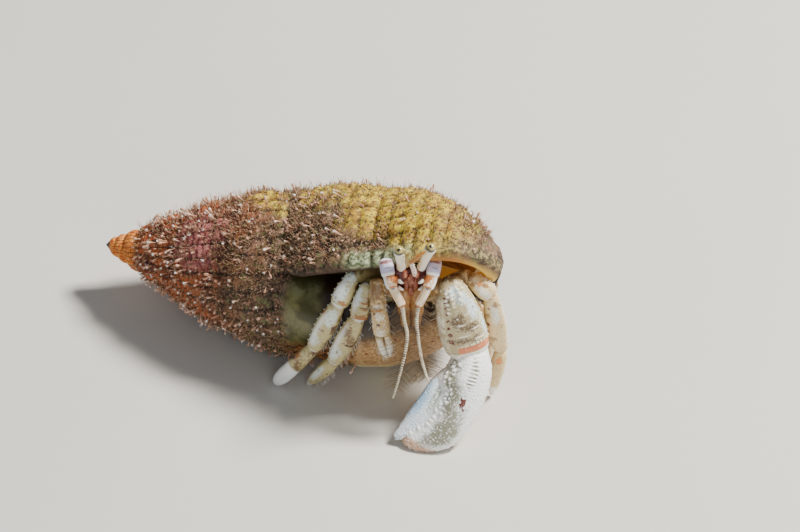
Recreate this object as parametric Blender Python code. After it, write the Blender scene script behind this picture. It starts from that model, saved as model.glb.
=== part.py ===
"""A south-claw hermit crab in the shell of a netted dog whelk, as a life-size model at rest.

Metres, +Z up. The origin is in the small flat that the whelk shell rests on. The shell's spire points
to -X, its base to +X, and the crab looks out of the mouth towards -Y. Right and left are the crab's own:
its right side is at -X. Run with: blender --background --python part.py
"""

import math

import bmesh
import bpy
import numpy as np
from mathutils import Vector

MM = 0.001
GAP = 0.05 * MM  # clearance between pieces that touch on the real animal
MERGE = 0.0001 * MM  # points this near are one point
SHARP = math.radians(50)  # edges sharper than this stay crisp

# ---- the whelk shell: a band wound round an axis, which grows as it goes ----
SHELL_APEX = np.array((-14.36, 4.84, 4.06)) * MM
SHELL_AXIS = np.array((28.0, -9.75, 3.1))  # from the apex to the base
LIP_ROLL = math.radians(44)  # how far the outer lip is turned from the top of the shell to its front
WHORL_GROWTH = 1.45  # each turn of the shell is this much larger than the one before
TURNS = 7.5
SUTURE_ALONG = 16.4 * MM  # where the last seam meets the lip, from the apex of the cone
SUTURE_RADIUS = 4.2 * MM
BASE_ALONG = 31.0 * MM  # the base of the shell
APEX_BLUNT = 0.7 * MM  # the cone's own apex lies this far beyond the real, blunt one
WHORL_BULGE = 0.050  # radians that a whorl swells between its seams
SPIRE_FULL = 0.22  # how much fatter the spire is than the body whorl's cone
SPIRE_LENGTH = 14.0 * MM  # where the spire's fatness fades out, and over what length
SPIRE_FADE = 4.0 * MM
BODY_FULL = 1.08
FREE_BULGE = 0.06  # share of its bulge that the last whorl keeps at its free edge
FREE_SETTLE = 0.08  # turns over which it does
BASE_CURVE = 2.1  # how full the base's outline is, from where it is settled
BASE_HOLLOW = 1.55  # how much less full it is where the last whorl begins
BASE_SETTLE = 0.12  # turns over which it fills out
BASE_CLOSE = 0.88  # share of the whorl's radius that the base closes in by
BASE_SHORT = 0.25  # how much less far the base reaches one turn back
LIP_LEAN = -0.3  # radians per 10 mm that the lip and the ribs lean
LIP_FLARE = 0.06  # the lip spreads by this share over the last fifth of a turn
LIP_FULL = 3.0  # how much fuller the base's outline is at the lip
LIP_OPEN = 0.36  # how far the lip's lower end stands off the columella, as the siphon's notch
LIP_PAST = 1.0 * MM  # how far it reaches past the columella's end
WALL = 0.70 * MM
LIP_CALLUS = 0.30 * MM  # glaze on the inner side of the mouth
MOUTH_TURNS = 0.55  # how far the hollow is cut back into the last whorl
STEPS_PER_TURN = 26

# ---- the crab's head and body ----
EYE_RADIUS = 0.36 * MM
WHIP_RADIUS = 0.25 * MM
LIMB_SIDES = 10

TAU = 2 * math.pi


def mm(x, y, z):
    """A place or a step in millimetres, as a vector in metres."""
    return Vector((x, y, z)) * MM


def unit(v):
    return v / np.linalg.norm(v)


# ---- scene, collections, materials ----


def clear_scene():
    for obj in list(bpy.data.objects):
        bpy.data.objects.remove(obj, do_unlink=True)


def new_collection(name):
    found = bpy.data.collections.new(name)
    bpy.context.scene.collection.children.link(found)
    return found


def new_material(name, color, roughness, metallic=0.0):
    found = bpy.data.materials.new(name)
    found.use_nodes = True
    shader = found.node_tree.nodes["Principled BSDF"]
    shader.inputs["Base Color"].default_value = (*color, 1.0)
    shader.inputs["Roughness"].default_value = roughness
    shader.inputs["Metallic"].default_value = metallic
    return found


def clean_mesh(mesh):
    """Merges doubled points, turns the faces out and shades them smooth."""
    work = bmesh.new()
    work.from_mesh(mesh)
    bmesh.ops.remove_doubles(work, verts=work.verts, dist=MERGE)
    bmesh.ops.recalc_face_normals(work, faces=work.faces)
    work.to_mesh(mesh)
    work.free()
    mesh.shade_smooth()


def move_to(obj, collection):
    for owner in list(obj.users_collection):
        owner.objects.unlink(obj)
    collection.objects.link(obj)


def add_mesh(name, points, faces, material, collection):
    """One object from points (metres, in place) and faces, with doubles merged and faces turned out."""
    mesh = bpy.data.meshes.new(name)
    mesh.from_pydata([tuple(p) for p in points], [], faces)
    clean_mesh(mesh)
    mesh.set_sharp_from_angle(angle=SHARP)
    if material:
        mesh.materials.append(material)
    obj = bpy.data.objects.new(name, mesh)
    collection.objects.link(obj)
    return obj


def loft(rings):
    """Points and faces of a tube through rings of equal count, closed by a flat face at each end."""
    count = len(rings[0])
    points = [p for ring in rings for p in ring]
    faces = []
    for k in range(len(rings) - 1):
        for i in range(count):
            j = (i + 1) % count
            low, high = k * count, (k + 1) * count
            faces.append((low + i, low + j, high + j, high + i))
    faces.append(tuple(range(count))[::-1])
    faces.append(tuple(range((len(rings) - 1) * count, len(rings) * count)))
    return points, faces


# ---- the whelk shell ----

AXIS = unit(SHELL_AXIS)
SHELL_TOP = unit(np.array((0.0, 0.0, 1.0)) - AXIS[2] * AXIS)
SHELL_FRONT = np.cross(AXIS, SHELL_TOP)
LIP_SIDE = math.cos(LIP_ROLL) * SHELL_TOP + math.sin(LIP_ROLL) * SHELL_FRONT
GROWTH_SIDE = np.cross(AXIS, LIP_SIDE)
CONE_APEX = SHELL_APEX - AXIS * APEX_BLUNT
SUTURE_REACH = math.hypot(SUTURE_ALONG, SUTURE_RADIUS)
SUTURE_ANGLE = math.atan2(SUTURE_RADIUS, SUTURE_ALONG)


def swell(share, age):
    """The whorl's bulge from seam (0) to seam (1). The last whorl keeps a little of it at its free edge."""
    kept = FREE_BULGE * (1 - np.exp(-np.clip(age, 0, None) / FREE_SETTLE))
    return WHORL_BULGE * np.sin(np.pi * share * (1 - kept)) ** 0.7


def band_profile(turn, share):
    """Along and out from the axis, for a turn (0 at the lip, negative before) and a share between seams."""
    reach = SUTURE_REACH * WHORL_GROWTH ** (turn + share)
    angle = SUTURE_ANGLE + swell(share, turn + 1)
    return reach * np.cos(angle), reach * np.sin(angle)


def lip_rise(turn):
    """0 over most of the shell, rising smoothly to 1 at the lip over its last fifth of a turn."""
    rise = np.clip((turn + 0.2) / 0.2, 0, 1)
    return rise * rise * (3 - 2 * rise)


def base_profile(turn, age, share):
    """The same for the base, from the last seam (0) to the columella's end (1). It is hollow at age 0."""
    curve = BASE_CURVE - BASE_HOLLOW * np.exp(-age / BASE_SETTLE) + LIP_FULL * lip_rise(turn)
    seam = SUTURE_REACH * WHORL_GROWTH ** (turn + 1) * np.cos(SUTURE_ANGLE + swell(1.0, age))
    end = BASE_ALONG * (1 - BASE_SHORT * (1 - WHORL_GROWTH**turn)) + LIP_PAST * lip_rise(turn)
    along = seam + (end - seam) * share
    closing = BASE_CLOSE - LIP_OPEN * lip_rise(turn)
    angle = (SUTURE_ANGLE + swell(np.ones_like(share), age)) * (1 - closing * share**curve)
    return along, along * np.tan(angle)


def shell_place(turn, along, out):
    """World places of shell points. The spire is fatter than the cone, and the lip flares."""
    out = out * (BODY_FULL + SPIRE_FULL * (1 - np.tanh((along - SPIRE_LENGTH) / SPIRE_FADE)))
    seam = SUTURE_REACH * WHORL_GROWTH**turn * math.cos(SUTURE_ANGLE)
    free = np.clip((along - seam) / (3 * MM), 0, 1)
    out = out * (1 + LIP_FLARE * free * lip_rise(turn))
    angle = TAU * turn + LIP_LEAN * (along / MM - 21.5) / 10
    spoke = np.cos(angle)[..., None] * LIP_SIDE + np.sin(angle)[..., None] * GROWTH_SIDE
    return CONE_APEX + along[..., None] * AXIS + out[..., None] * spoke


def grid_faces(rows, columns, first=0):
    """Quads of a grid of points stored row by row."""
    faces = []
    for i in range(rows - 1):
        for j in range(columns - 1):
            a = first + i * columns + j
            faces.append((a, a + 1, a + columns + 1, a + columns))
    return faces


def shell_body(material, collection):
    """The outside of the shell: the wound band, the base, the flat of the mouth, and the closed ends."""
    band_steps, base_steps = 5, 11
    turn, share = np.meshgrid(
        np.arange(-round(TURNS * STEPS_PER_TURN), 1) / STEPS_PER_TURN,
        np.linspace(0, 1, band_steps + 1),
        indexing="ij",
    )
    band = shell_place(turn, *band_profile(turn, share))
    last, share = np.meshgrid(
        np.arange(-STEPS_PER_TURN, 1) / STEPS_PER_TURN, np.linspace(0, 1, base_steps + 1), indexing="ij"
    )
    base = shell_place(last, *base_profile(last, last + 1, share))
    points = list(band.reshape(-1, 3)) + list(base.reshape(-1, 3))
    wide, deep = band.shape[1], base.shape[1]
    first = band.shape[0] * wide
    faces = grid_faces(band.shape[0], wide) + grid_faces(base.shape[0], deep, first)

    # The tip: a fan from the apex over the first turn's upper seam and the band's first edge.
    points.append(SHELL_APEX)
    rim = [k * wide for k in range(STEPS_PER_TURN + 1)] + list(range(wide))[::-1]
    faces += [(rim[k], rim[k + 1], len(points) - 1) for k in range(len(rim) - 1) if rim[k] != rim[k + 1]]

    # The base end: a fan over the spiral that the columella's end follows.
    points.append(CONE_APEX + AXIS * (BASE_ALONG - 0.8 * MM))
    rim = [first + k * deep + deep - 1 for k in range(base.shape[0])]
    rim.append(rim[0])
    faces += [(rim[k + 1], rim[k], len(points) - 1) for k in range(len(rim) - 1)]

    # The mouth: from the lip across to the columella, in the lip's own half-plane.
    lip = [first - wide + k for k in range(wide)]
    lip += [first + (base.shape[0] - 1) * deep + k for k in range(1, deep)]
    inner = [first + k for k in range(1, deep)]
    faces.append(tuple(lip + inner[::-1]))
    body = add_mesh("snail_shell", points, faces, material, collection)
    work = bmesh.new()
    work.from_mesh(body.data)
    wide_faces = [face for face in work.faces if len(face.verts) > 4]
    bmesh.ops.triangulate(work, faces=wide_faces, ngon_method="EAR_CLIP")
    work.to_mesh(body.data)
    work.free()
    return body


def mouth_ring(turn, inset, count):
    """One section of the hollow whorl, in from its outer wall and columella by an inset."""
    share = np.linspace(0, 1, 60)
    outer = np.hstack([band_profile(turn, share), base_profile(turn, 1.0 + turn, share)])
    along_in, out_in = base_profile(turn - 1, 0.0, share)
    start = SUTURE_ALONG * WHORL_GROWTH**turn + 0.9 * MM + inset
    end = outer[0, -1] - 1.0 * MM - inset
    circle = np.linspace(0, TAU, count, endpoint=False)
    along = start + (end - start) * (1 - np.cos(circle)) / 2
    high = np.interp(along, outer[0], outer[1]) - WALL - inset
    low = np.interp(along, along_in, out_in) + LIP_CALLUS + inset
    half = np.maximum(high - low, 0.1 * MM) / 2
    bend = np.sin(circle)
    out = (high + low) / 2 + half * np.sign(bend) * np.abs(bend) ** 0.6
    return shell_place(np.full(count, turn), along, out)


def whorl_tube(name, turns, insets, count, material, collection):
    """A closed tube along the inside of the last whorl, between two turns."""
    rings = [mouth_ring(turn, inset, count) for turn, inset in zip(turns, insets)]
    return add_mesh(name, *loft(rings), material, collection)


def boolean(obj, operation, other):
    cut = obj.modifiers.new(other.name, "BOOLEAN")
    cut.operation = operation
    cut.object = other
    cut.solver = "EXACT"


def as_cutter(obj):
    obj.hide_render = True
    obj.display_type = "WIRE"
    return obj


def snail_shell(material, collection, cutters):
    body = shell_body(material, collection)
    turns = np.linspace(0.03, -MOUTH_TURNS, 18)
    mouth = whorl_tube("mouth_cutter", turns, np.zeros_like(turns), 18, None, cutters)
    boolean(body, "DIFFERENCE", as_cutter(mouth))
    bpy.ops.mesh.primitive_cube_add(size=1.0, location=(0, 0, -5 * MM))
    floor = bpy.context.object
    floor.name = "foot_cutter"
    floor.scale = (40 * MM, 40 * MM, 10 * MM)
    move_to(floor, cutters)
    boolean(body, "DIFFERENCE", as_cutter(floor))
    return body


# ---- limbs ----


def stations(values, share):
    """A measure along a piece, given at even stations and read between them on straight lines."""
    return float(np.interp(share, np.linspace(0, 1, len(values)), values))


def limb_piece(name, start, end, widths, depths, look, material, collection, **more):
    """One segment of a limb, lofted from start to end.

    widths lie across the look vector's direction and depths along it, in mm at even stations. start_cut and
    end_cut are the planes that the ends lie in, bend bows the segment, tip rounds off its end, and floor
    keeps its points at or above the level it stands on.
    """
    chord = (end - start).normalized()
    start_cut = more.get("start_cut", chord)
    end_cut = more.get("end_cut", chord)
    bend = more.get("bend", Vector((0, 0, 0)))
    tip = more.get("tip", False)
    steps = more.get("steps", 6)
    start = start + start_cut * (GAP / 2)
    end = end - (Vector((0, 0, 0)) if tip else end_cut * (GAP / 2))
    shares = [k / steps for k in range(steps + 1)]
    if tip:
        shares = shares[:-1] + [1 - 0.35 / steps, 1.0]
    rings = []
    for share in shares:
        slope = (end - start) + bend * (math.pi * math.cos(math.pi * share))
        along = slope.normalized()
        across = along.cross(look).normalized()
        face = across.cross(along).normalized()
        centre = start + (end - start) * share + bend * math.sin(math.pi * share)
        size = 0.45 if tip and share == 1.0 else 1.0
        wide = stations(widths, share) * MM / 2 * size
        deep = stations(depths, share) * MM / 2 * size
        near = max(0.0, 1 - 3 * share)
        far = 0.0 if tip else max(0.0, 3 * share - 2)
        ring = []
        for k in range(LIMB_SIDES):
            turn = TAU * k / LIMB_SIDES
            off = across * (wide * math.cos(turn)) + face * (deep * math.sin(turn))
            slip = near * off.dot(start_cut) / along.dot(start_cut)
            slip += far * off.dot(end_cut) / along.dot(end_cut)
            ring.append(centre + off - along * slip)
        rings.append(ring)
    if more.get("floor"):
        rings = [[Vector((p.x, p.y, max(p.z, 0.0))) for p in ring] for ring in rings]
    return add_mesh(name, *loft(rings), material, collection)


def limb(names, joints, sizes, look, materials, collection, **more):
    """A row of segments through joints. Neighbours meet in the plane that halves the bend between them."""
    chords = [(b - a).normalized() for a, b in zip(joints, joints[1:])]
    cuts = [chords[0]] + [(a + b).normalized() for a, b in zip(chords, chords[1:])] + [chords[-1]]
    last = len(names) - 1
    for k, name in enumerate(names):
        widths, depths = sizes[k]
        limb_piece(
            name,
            joints[k],
            joints[k + 1],
            widths,
            depths,
            look,
            materials[k],
            collection,
            start_cut=cuts[k],
            end_cut=cuts[k + 1],
            tip=k == last and more.get("tip", True),
            floor=k == last and more.get("floor", False),
            bend=more.get("tip_bend", Vector((0, 0, 0))) if k == last else Vector((0, 0, 0)),
        )


CAMERA_SIDE = Vector((0.0, -0.8, 0.6))  # the side of the limbs that faces up and forward

WALKING_SIZES = (
    ((1.0, 1.3, 1.3, 1.0), (0.9, 1.1, 1.1, 0.9)),  # merus: widths, depths
    ((1.0, 1.3, 1.35, 1.1), (0.9, 1.0, 1.0, 0.9)),  # carpus
    ((1.1, 1.35, 1.45, 1.2, 0.95), (0.9, 1.0, 1.0, 0.9, 0.8)),  # propodus
    ((0.95, 1.05, 1.0, 0.8), (0.8, 0.85, 0.8, 0.65)),  # dactyl
)
WALKING_PARTS = ("merus", "carpus", "propodus", "dactyl")
DACTYL_BOW = mm(0.0, 0.0, 0.25)
WALKING_LEGS = {
    "right_leg_1": (
        mm(6.3, -5.1, 9.9),
        mm(3.8, -6.35, 10.65),
        mm(2.7, -7.5, 8.9),
        mm(0.9, -7.1, 4.5),
        mm(-1.8, -6.0, 0.05),
    ),
    "right_leg_2": (
        mm(6.3, -6.4, 8.8),
        mm(4.75, -7.2, 10.4),
        mm(4.1, -8.1, 8.2),
        mm(2.3, -7.4, 3.5),
        mm(0.5, -6.1, 0.05),
    ),
    "left_leg_1": (
        mm(10.25, -6.35, 9.6),
        mm(11.85, -7.05, 11.0),
        mm(13.3, -7.6, 9.9),
        mm(14.1, -7.2, 4.4),
        mm(13.5, -7.2, 0.05),
    ),
    "left_leg_2": (
        mm(9.4, -5.9, 8.1),
        mm(11.1, -6.45, 8.9),
        mm(12.6, -6.6, 7.0),
        mm(13.0, -6.0, 2.3),
        mm(12.3, -7.3, 0.05),
    ),
}


def walking_legs(material, collection):
    for leg, joints in WALKING_LEGS.items():
        names = [f"{leg}_{part}" for part in WALKING_PARTS]
        looks = [material] * len(names)
        limb(names, joints, WALKING_SIZES, CAMERA_SIDE, looks, collection, tip_bend=DACTYL_BOW, floor=True)


# ---- the large left claw ----

WRIST = mm(12.04, -8.50, 5.35)
CLAW_LENGTHWISE = Vector((-0.634, -0.467, -0.616))
CLAW_FACE = Vector((-0.147, -0.709, 0.689))
# Middle of each section (lengthwise, across), the heading of its cut, its half-width and thickness: the
# palm and fixed finger curve inwards round the moving finger.
PALM_SECTIONS = (
    (0.14, -0.06, 48, 1.30, 1.9),
    (1.05, 0.60, 32, 1.62, 2.4),
    (2.13, 0.94, 22, 1.84, 2.6),
    (2.92, 1.58, 17, 1.44, 2.4),
    (4.12, 1.86, 9, 1.36, 2.1),
    (5.53, 1.99, -2, 1.24, 1.7),
    (6.69, 1.58, -9, 1.00, 1.3),
    (7.60, 0.86, -13, 0.62, 0.9),
    (7.90, 0.08, -40, 0.25, 0.5),
)
FINGER_SECTIONS = (
    (3.40, -0.36, 17, 0.46, 1.7),
    (4.42, -0.20, 8, 0.62, 1.6),
    (5.67, -0.08, 13, 0.70, 1.4),
    (6.69, -0.12, 14, 0.56, 1.1),
    (7.55, -0.26, 12, 0.33, 0.8),
    (8.05, -0.42, 0, 0.20, 0.5),
)


def claw_frame():
    """Directions along the claw to its tips, across it to its outer edge, and out of its upper face."""
    lengthwise = CLAW_LENGTHWISE.normalized()
    across = CLAW_FACE.cross(lengthwise).normalized()
    return lengthwise, across, lengthwise.cross(across).normalized()


def claw_cut(section):
    """The middle of a section of the claw and the direction across it."""
    along, aside, heading, _half, _thick = section
    lengthwise, across, _face = claw_frame()
    turn = math.radians(heading)
    centre = WRIST + lengthwise * (along * MM) + across * (aside * MM)
    return centre, across * math.cos(turn) - lengthwise * math.sin(turn)


def claw_piece(name, sections, material, collection):
    """A piece of the claw: oval sections set across a curved line in the claw's own plane."""
    _lengthwise, _across, face = claw_frame()
    rings = []
    for section in sections:
        centre, cut = claw_cut(section)
        half, thick = section[3:]
        ring = []
        for k in range(12):
            angle = TAU * k / 12
            off = cut * (half * math.cos(angle)) + face * (thick / 2 * math.sin(angle))
            ring.append(centre + off * MM)
        rings.append([Vector((p.x, p.y, max(p.z, 0.0))) for p in ring])
    return add_mesh(name, *loft(rings), material, collection)


def big_claw(material, collection):
    wrist, cut = claw_cut(PALM_SECTIONS[0])
    wrist_cut = cut.cross(claw_frame()[2]).normalized()
    wrist_cut = wrist_cut if wrist_cut.z < 0 else -wrist_cut
    shoulder, elbow = mm(8.95, -6.85, 9.2), mm(10.4, -8.0, 11.6)
    elbow_cut = Vector((0.3, 0.0, -0.95)).normalized()
    limb_piece(
        "big_claw_merus", shoulder, elbow - mm(0.98, -0.35, 1.25), (0.9, 1.1, 1.05), (1.0, 1.2, 1.15),
        CAMERA_SIDE, material, collection, steps=4,
    )
    limb_piece(
        "big_claw_carpus", elbow, wrist - wrist_cut * (GAP / 2), (1.3, 1.9, 2.5, 3.0, 3.2, 2.7),
        (1.2, 1.7, 2.0, 2.2, 2.2, 1.9), CAMERA_SIDE, material, collection,
        start_cut=elbow_cut, end_cut=wrist_cut,
    )
    claw_piece("big_claw_palm", PALM_SECTIONS, material, collection)
    claw_piece("big_claw_finger", FINGER_SECTIONS, material, collection)


# ---- the small right claw ----


def small_claw(material, collection):
    sideways = Vector((-1, 0, 0))
    limb_piece(
        "small_claw_merus", mm(6.75, -7.6, 9.9), mm(6.0, -7.7, 10.5), (0.7, 0.8, 0.7), (0.7, 0.8, 0.7),
        CAMERA_SIDE, material, collection, start_cut=sideways, end_cut=sideways, steps=3,
    )
    joints = (mm(5.4, -7.6, 11.2), mm(5.5, -8.3, 9.2), mm(5.75, -8.6, 7.2))
    sizes = (
        ((0.9, 1.1, 1.15), (0.8, 1.0, 1.0)),
        ((1.1, 1.2, 1.1), (0.9, 1.0, 0.9)),
    )
    names = ("small_claw_carpus", "small_claw_palm")
    limb(names, joints, sizes, CAMERA_SIDE, [material] * 2, collection, tip=False)
    root, tip = joints[-1], mm(6.15, -8.6, 5.0)
    chord = (tip - root).normalized()
    aside = chord.cross(CAMERA_SIDE).normalized()
    for name, side in (("small_claw_fixed_finger", -1), ("small_claw_finger", 1)):
        start = root + aside * (side * 0.29 * MM)
        limb_piece(
            name, start, tip + aside * (side * 0.27 * MM), (0.5, 0.5, 0.45, 0.4), (0.85, 0.8, 0.65, 0.45),
            CAMERA_SIDE, material, collection, tip=True,
        )


# ---- head and body ----

RIGHT, LEFT = -1, 1


def body(material, collection):
    """The shield over the back, the chest that carries the limbs, and the soft abdomen in the shell."""
    upwards = Vector((0, 0, 1))
    limb_piece(
        "shield", mm(7.3, -3.4, 11.4), mm(7.75, -8.2, 11.9), (2.2, 3.3, 3.6, 3.4, 2.7),
        (1.2, 1.5, 1.4, 1.15, 1.3), upwards, material["cuticle"], collection,
    )
    limb_piece(
        "thorax", mm(7.4, -3.6, 10.0), mm(7.75, -7.4, 9.8), (1.8, 2.2, 2.1, 1.6),
        (0.9, 1.2, 1.7, 1.9), upwards, material["cuticle"], collection,
    )
    turns = np.linspace(-0.12, -MOUTH_TURNS + 0.06, 12)
    insets = (0.45 + 0.6 * (turns / MOUTH_TURNS) ** 2) * MM
    whorl_tube("abdomen", turns, insets, 14, material["soft_skin"], collection)


def eye(name, base, tip, material, collection):
    limb_piece(
        f"eyestalk_{name}", base, tip, (0.62, 0.66, 0.60, 0.62), (0.62, 0.66, 0.60, 0.62), CAMERA_SIDE,
        material["stalk"], collection,
    )
    chord = (tip - base).normalized()
    bpy.ops.mesh.primitive_uv_sphere_add(segments=12, ring_count=8, radius=EYE_RADIUS)
    ball = bpy.context.object
    ball.name = f"eye_{name}"
    ball.location = tip + chord * (EYE_RADIUS + GAP / 2)
    ball.rotation_euler = chord.to_track_quat("Z", "Y").to_euler()
    ball.data.shade_smooth()
    ball.data.materials.append(material["eye"])
    move_to(ball, collection)


ANTENNULES = {
    "right": (mm(7.45, -8.45, 12.3), mm(7.5, -9.55, 15.5)),
    "left": (mm(8.05, -8.45, 12.3), mm(8.8, -9.5, 15.7)),
}


def antennules(material, collection):
    """The short inner feelers, which stand up between the eyes."""
    for side, (base, tip) in ANTENNULES.items():
        limb_piece(
            f"antennule_{side}", base, tip, (0.5, 0.5, 0.5, 0.5), (0.5, 0.5, 0.5, 0.5), CAMERA_SIDE,
            material["feeler"], collection, tip=True, bend=mm(0, -0.2, 0), steps=5,
        )


ANTENNAE = {
    "right": (
        (mm(6.0, -7.75, 12.95), mm(6.2, -8.35, 12.3), mm(6.45, -8.9, 11.7), mm(7.12, -9.4, 10.5)),
        (
            mm(7.3, -9.7, 9.3),
            mm(7.5, -10.1, 8.3),
            mm(7.3, -10.6, 6.8),
            mm(6.9, -11.0, 5.0),
            mm(6.5, -11.3, 3.5),
        ),
    ),
    "left": (
        (mm(9.45, -7.75, 12.95), mm(9.25, -8.35, 12.3), mm(8.95, -8.95, 11.7), mm(8.28, -9.4, 10.5)),
        (
            mm(8.15, -9.7, 9.2),
            mm(8.3, -10.2, 7.7),
            mm(8.5, -10.6, 6.5),
            mm(8.75, -10.9, 5.6),
            mm(9.0, -11.1, 4.8),
        ),
    ),
}


def antennae(material, collection):
    sizes = (
        ((0.9, 0.95, 0.8), (0.8, 0.9, 0.7)),
        ((0.7, 0.8, 0.7), (0.6, 0.7, 0.6)),
        ((0.65, 0.6, 0.6), (0.55, 0.55, 0.5)),
    )
    for side, (stem, whip) in ANTENNAE.items():
        names = [f"antenna_{part}_{side}" for part in ("base", "elbow", "stem")]
        looks = [material["feeler"]] * 3
        limb(names, stem, sizes, CAMERA_SIDE, looks, collection, tip=False)
        whip_tube(f"antenna_whip_{side}", (stem[-1],) + whip, material["feeler"], collection)


def whip_tube(name, places, material, collection):
    """A round feeler through its places, as a bevelled curve made a mesh."""
    curve = bpy.data.curves.new(name, "CURVE")
    curve.dimensions = "3D"
    curve.resolution_u = 3
    curve.bevel_depth = WHIP_RADIUS
    curve.bevel_resolution = 1
    curve.use_fill_caps = True
    spline = curve.splines.new("BEZIER")
    spline.bezier_points.add(len(places) - 1)
    for point, place in zip(spline.bezier_points, places):
        point.co = place
        point.handle_left_type = "AUTO"
        point.handle_right_type = "AUTO"
    spline.bezier_points[0].co = places[0] + (places[1] - places[0]).normalized() * GAP
    source = bpy.data.objects.new(name + "_guide", curve)
    collection.objects.link(source)
    graph = bpy.context.evaluated_depsgraph_get()
    mesh = bpy.data.meshes.new_from_object(source.evaluated_get(graph))
    bpy.data.objects.remove(source, do_unlink=True)
    clean_mesh(mesh)
    mesh.materials.clear()
    mesh.materials.append(material)
    obj = bpy.data.objects.new(name, mesh)
    collection.objects.link(obj)


def head(material, collection):
    eye("right", mm(7.08, -8.1, 12.8), mm(6.98, -8.68, 14.5), material, collection)
    eye("left", mm(8.42, -8.1, 12.8), mm(9.02, -8.68, 14.76), material, collection)
    antennules(material, collection)
    antennae(material, collection)
    for name, side in (("right", RIGHT), ("left", LEFT)):
        limb_piece(
            f"maxilliped_{name}", mm(7.75 + 0.42 * side, -7.9, 10.4), mm(7.75 + 0.4 * side, -8.6, 8.1),
            (0.75, 0.8, 0.7, 0.55), (0.7, 0.8, 0.7, 0.5), CAMERA_SIDE, material["cuticle"], collection,
            tip=True, bend=mm(0, -0.2, 0),
        )


def main():
    clear_scene()
    collection = new_collection("hermit_crab")
    cutters = new_collection("cutters")
    material = {
        "whelk": new_material("whelk", (0.24, 0.16, 0.07), 0.75),
        "cuticle": new_material("cuticle", (0.62, 0.50, 0.34), 0.45),
        "claw": new_material("claw", (0.80, 0.76, 0.66), 0.40),
        "leg": new_material("leg", (0.70, 0.58, 0.38), 0.45),
        "stalk": new_material("stalk", (0.85, 0.80, 0.70), 0.35),
        "eye": new_material("eye", (0.10, 0.08, 0.05), 0.10),
        "feeler": new_material("feeler", (0.72, 0.58, 0.50), 0.45),
        "soft_skin": new_material("soft_skin", (0.70, 0.45, 0.32), 0.50),
    }
    snail_shell(material["whelk"], collection, cutters)
    body(material, collection)
    head(material, collection)
    big_claw(material["claw"], collection)
    small_claw(material["leg"], collection)
    walking_legs(material["leg"], collection)


main()
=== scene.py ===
# %% [markdown]
# # A hermit crab in a netted dog whelk shell
# A life-size museum model of a small hermit crab that stands on its legs and looks out of a snail shell.
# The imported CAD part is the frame: every finer surface below is built in its place, in metres.
# Every length in this notebook is written in millimetres and turned into metres by `mm`.

# %% Load the frame
import math

import bpy
import numpy as np
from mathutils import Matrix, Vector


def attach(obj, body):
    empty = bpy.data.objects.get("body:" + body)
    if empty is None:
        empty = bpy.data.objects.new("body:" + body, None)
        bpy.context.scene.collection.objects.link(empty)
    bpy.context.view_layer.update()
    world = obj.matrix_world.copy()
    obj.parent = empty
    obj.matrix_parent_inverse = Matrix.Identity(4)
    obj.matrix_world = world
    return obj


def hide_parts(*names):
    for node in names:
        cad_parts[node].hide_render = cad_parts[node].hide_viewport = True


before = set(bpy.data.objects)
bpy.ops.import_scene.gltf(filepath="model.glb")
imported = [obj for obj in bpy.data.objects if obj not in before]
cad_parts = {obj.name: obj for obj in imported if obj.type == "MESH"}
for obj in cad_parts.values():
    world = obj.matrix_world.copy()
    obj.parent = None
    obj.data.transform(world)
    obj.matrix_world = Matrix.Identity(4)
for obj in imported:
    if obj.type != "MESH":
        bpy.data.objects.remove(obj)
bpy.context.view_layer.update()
MM = 0.001
TAU = 2 * math.pi
print("nodes in the frame:", len(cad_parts))


def mm(x, y, z):
    """A place given in millimetres, as an array in metres."""
    return np.array([x, y, z], float) * MM


def unit(vectors):
    """Each vector divided by its own length."""
    vectors = np.asarray(vectors, float)
    return vectors / np.maximum(np.linalg.norm(vectors, axis=-1, keepdims=True), 1e-15)


# %% [markdown]
# ## Camera, lights and floor
# A macro lens a foot away looks down on the crab at forty degrees. One large soft lamp stands behind its left
# side, as the sun does over shallow water, and a weaker one fills the front.

# %% Camera
TARGET = mm(7.0, 0, 6.08)
VIEW_DISTANCE = 300 * MM
VIEW_HEIGHT = math.radians(40)


def place_camera():
    """A long lens that looks from the front, above, at the middle of the crab."""
    camera = bpy.data.cameras.new("camera")
    camera.lens = 189
    camera.clip_start = 0.01
    camera.clip_end = 10
    holder = bpy.data.objects.new("camera", camera)
    away = np.array([0, -math.cos(VIEW_HEIGHT), math.sin(VIEW_HEIGHT)])
    holder.location = TARGET + VIEW_DISTANCE * away
    holder.rotation_euler = (math.pi / 2 - VIEW_HEIGHT, 0, 0)
    bpy.context.scene.collection.objects.link(holder)
    bpy.context.scene.camera = holder


place_camera()

# %% Lights and sky


def soft_lamp(name, side, distance, size, power, colour):
    """A square lamp on the given side of the crab, turned to face it."""
    lamp = bpy.data.lights.new(name, "AREA")
    lamp.size = size
    lamp.energy = power
    lamp.color = colour
    holder = bpy.data.objects.new(name, lamp)
    bpy.context.scene.collection.objects.link(holder)
    side = Vector(side).normalized()
    holder.location = Vector(TARGET) + side * distance
    holder.rotation_euler = side.to_track_quat("Z", "Y").to_euler()


soft_lamp("sun_through_water", (0.55, 0.08, 0.83), 0.30, 0.07, 2.35, (1.0, 0.97, 0.90))
soft_lamp("front_fill", (0.10, -0.90, 0.42), 0.35, 0.25, 0.34, (0.95, 0.98, 1.0))
sky = bpy.data.worlds.new("sky")
sky.use_nodes = True
sky.node_tree.nodes["Background"].inputs["Color"].default_value = (0.82, 0.88, 0.92, 1)
sky.node_tree.nodes["Background"].inputs["Strength"].default_value = 0.22
bpy.context.scene.world = sky

# %% [markdown]
# ## Node groups that the materials share
# A material here is a small tree: masks measured on the mesh choose between colours, and noise breaks them
# up. `wire` makes a node, sets its plain values and joins its inputs in one line, so each tree reads as a
# list of steps.

# %% Making nodes


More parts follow.
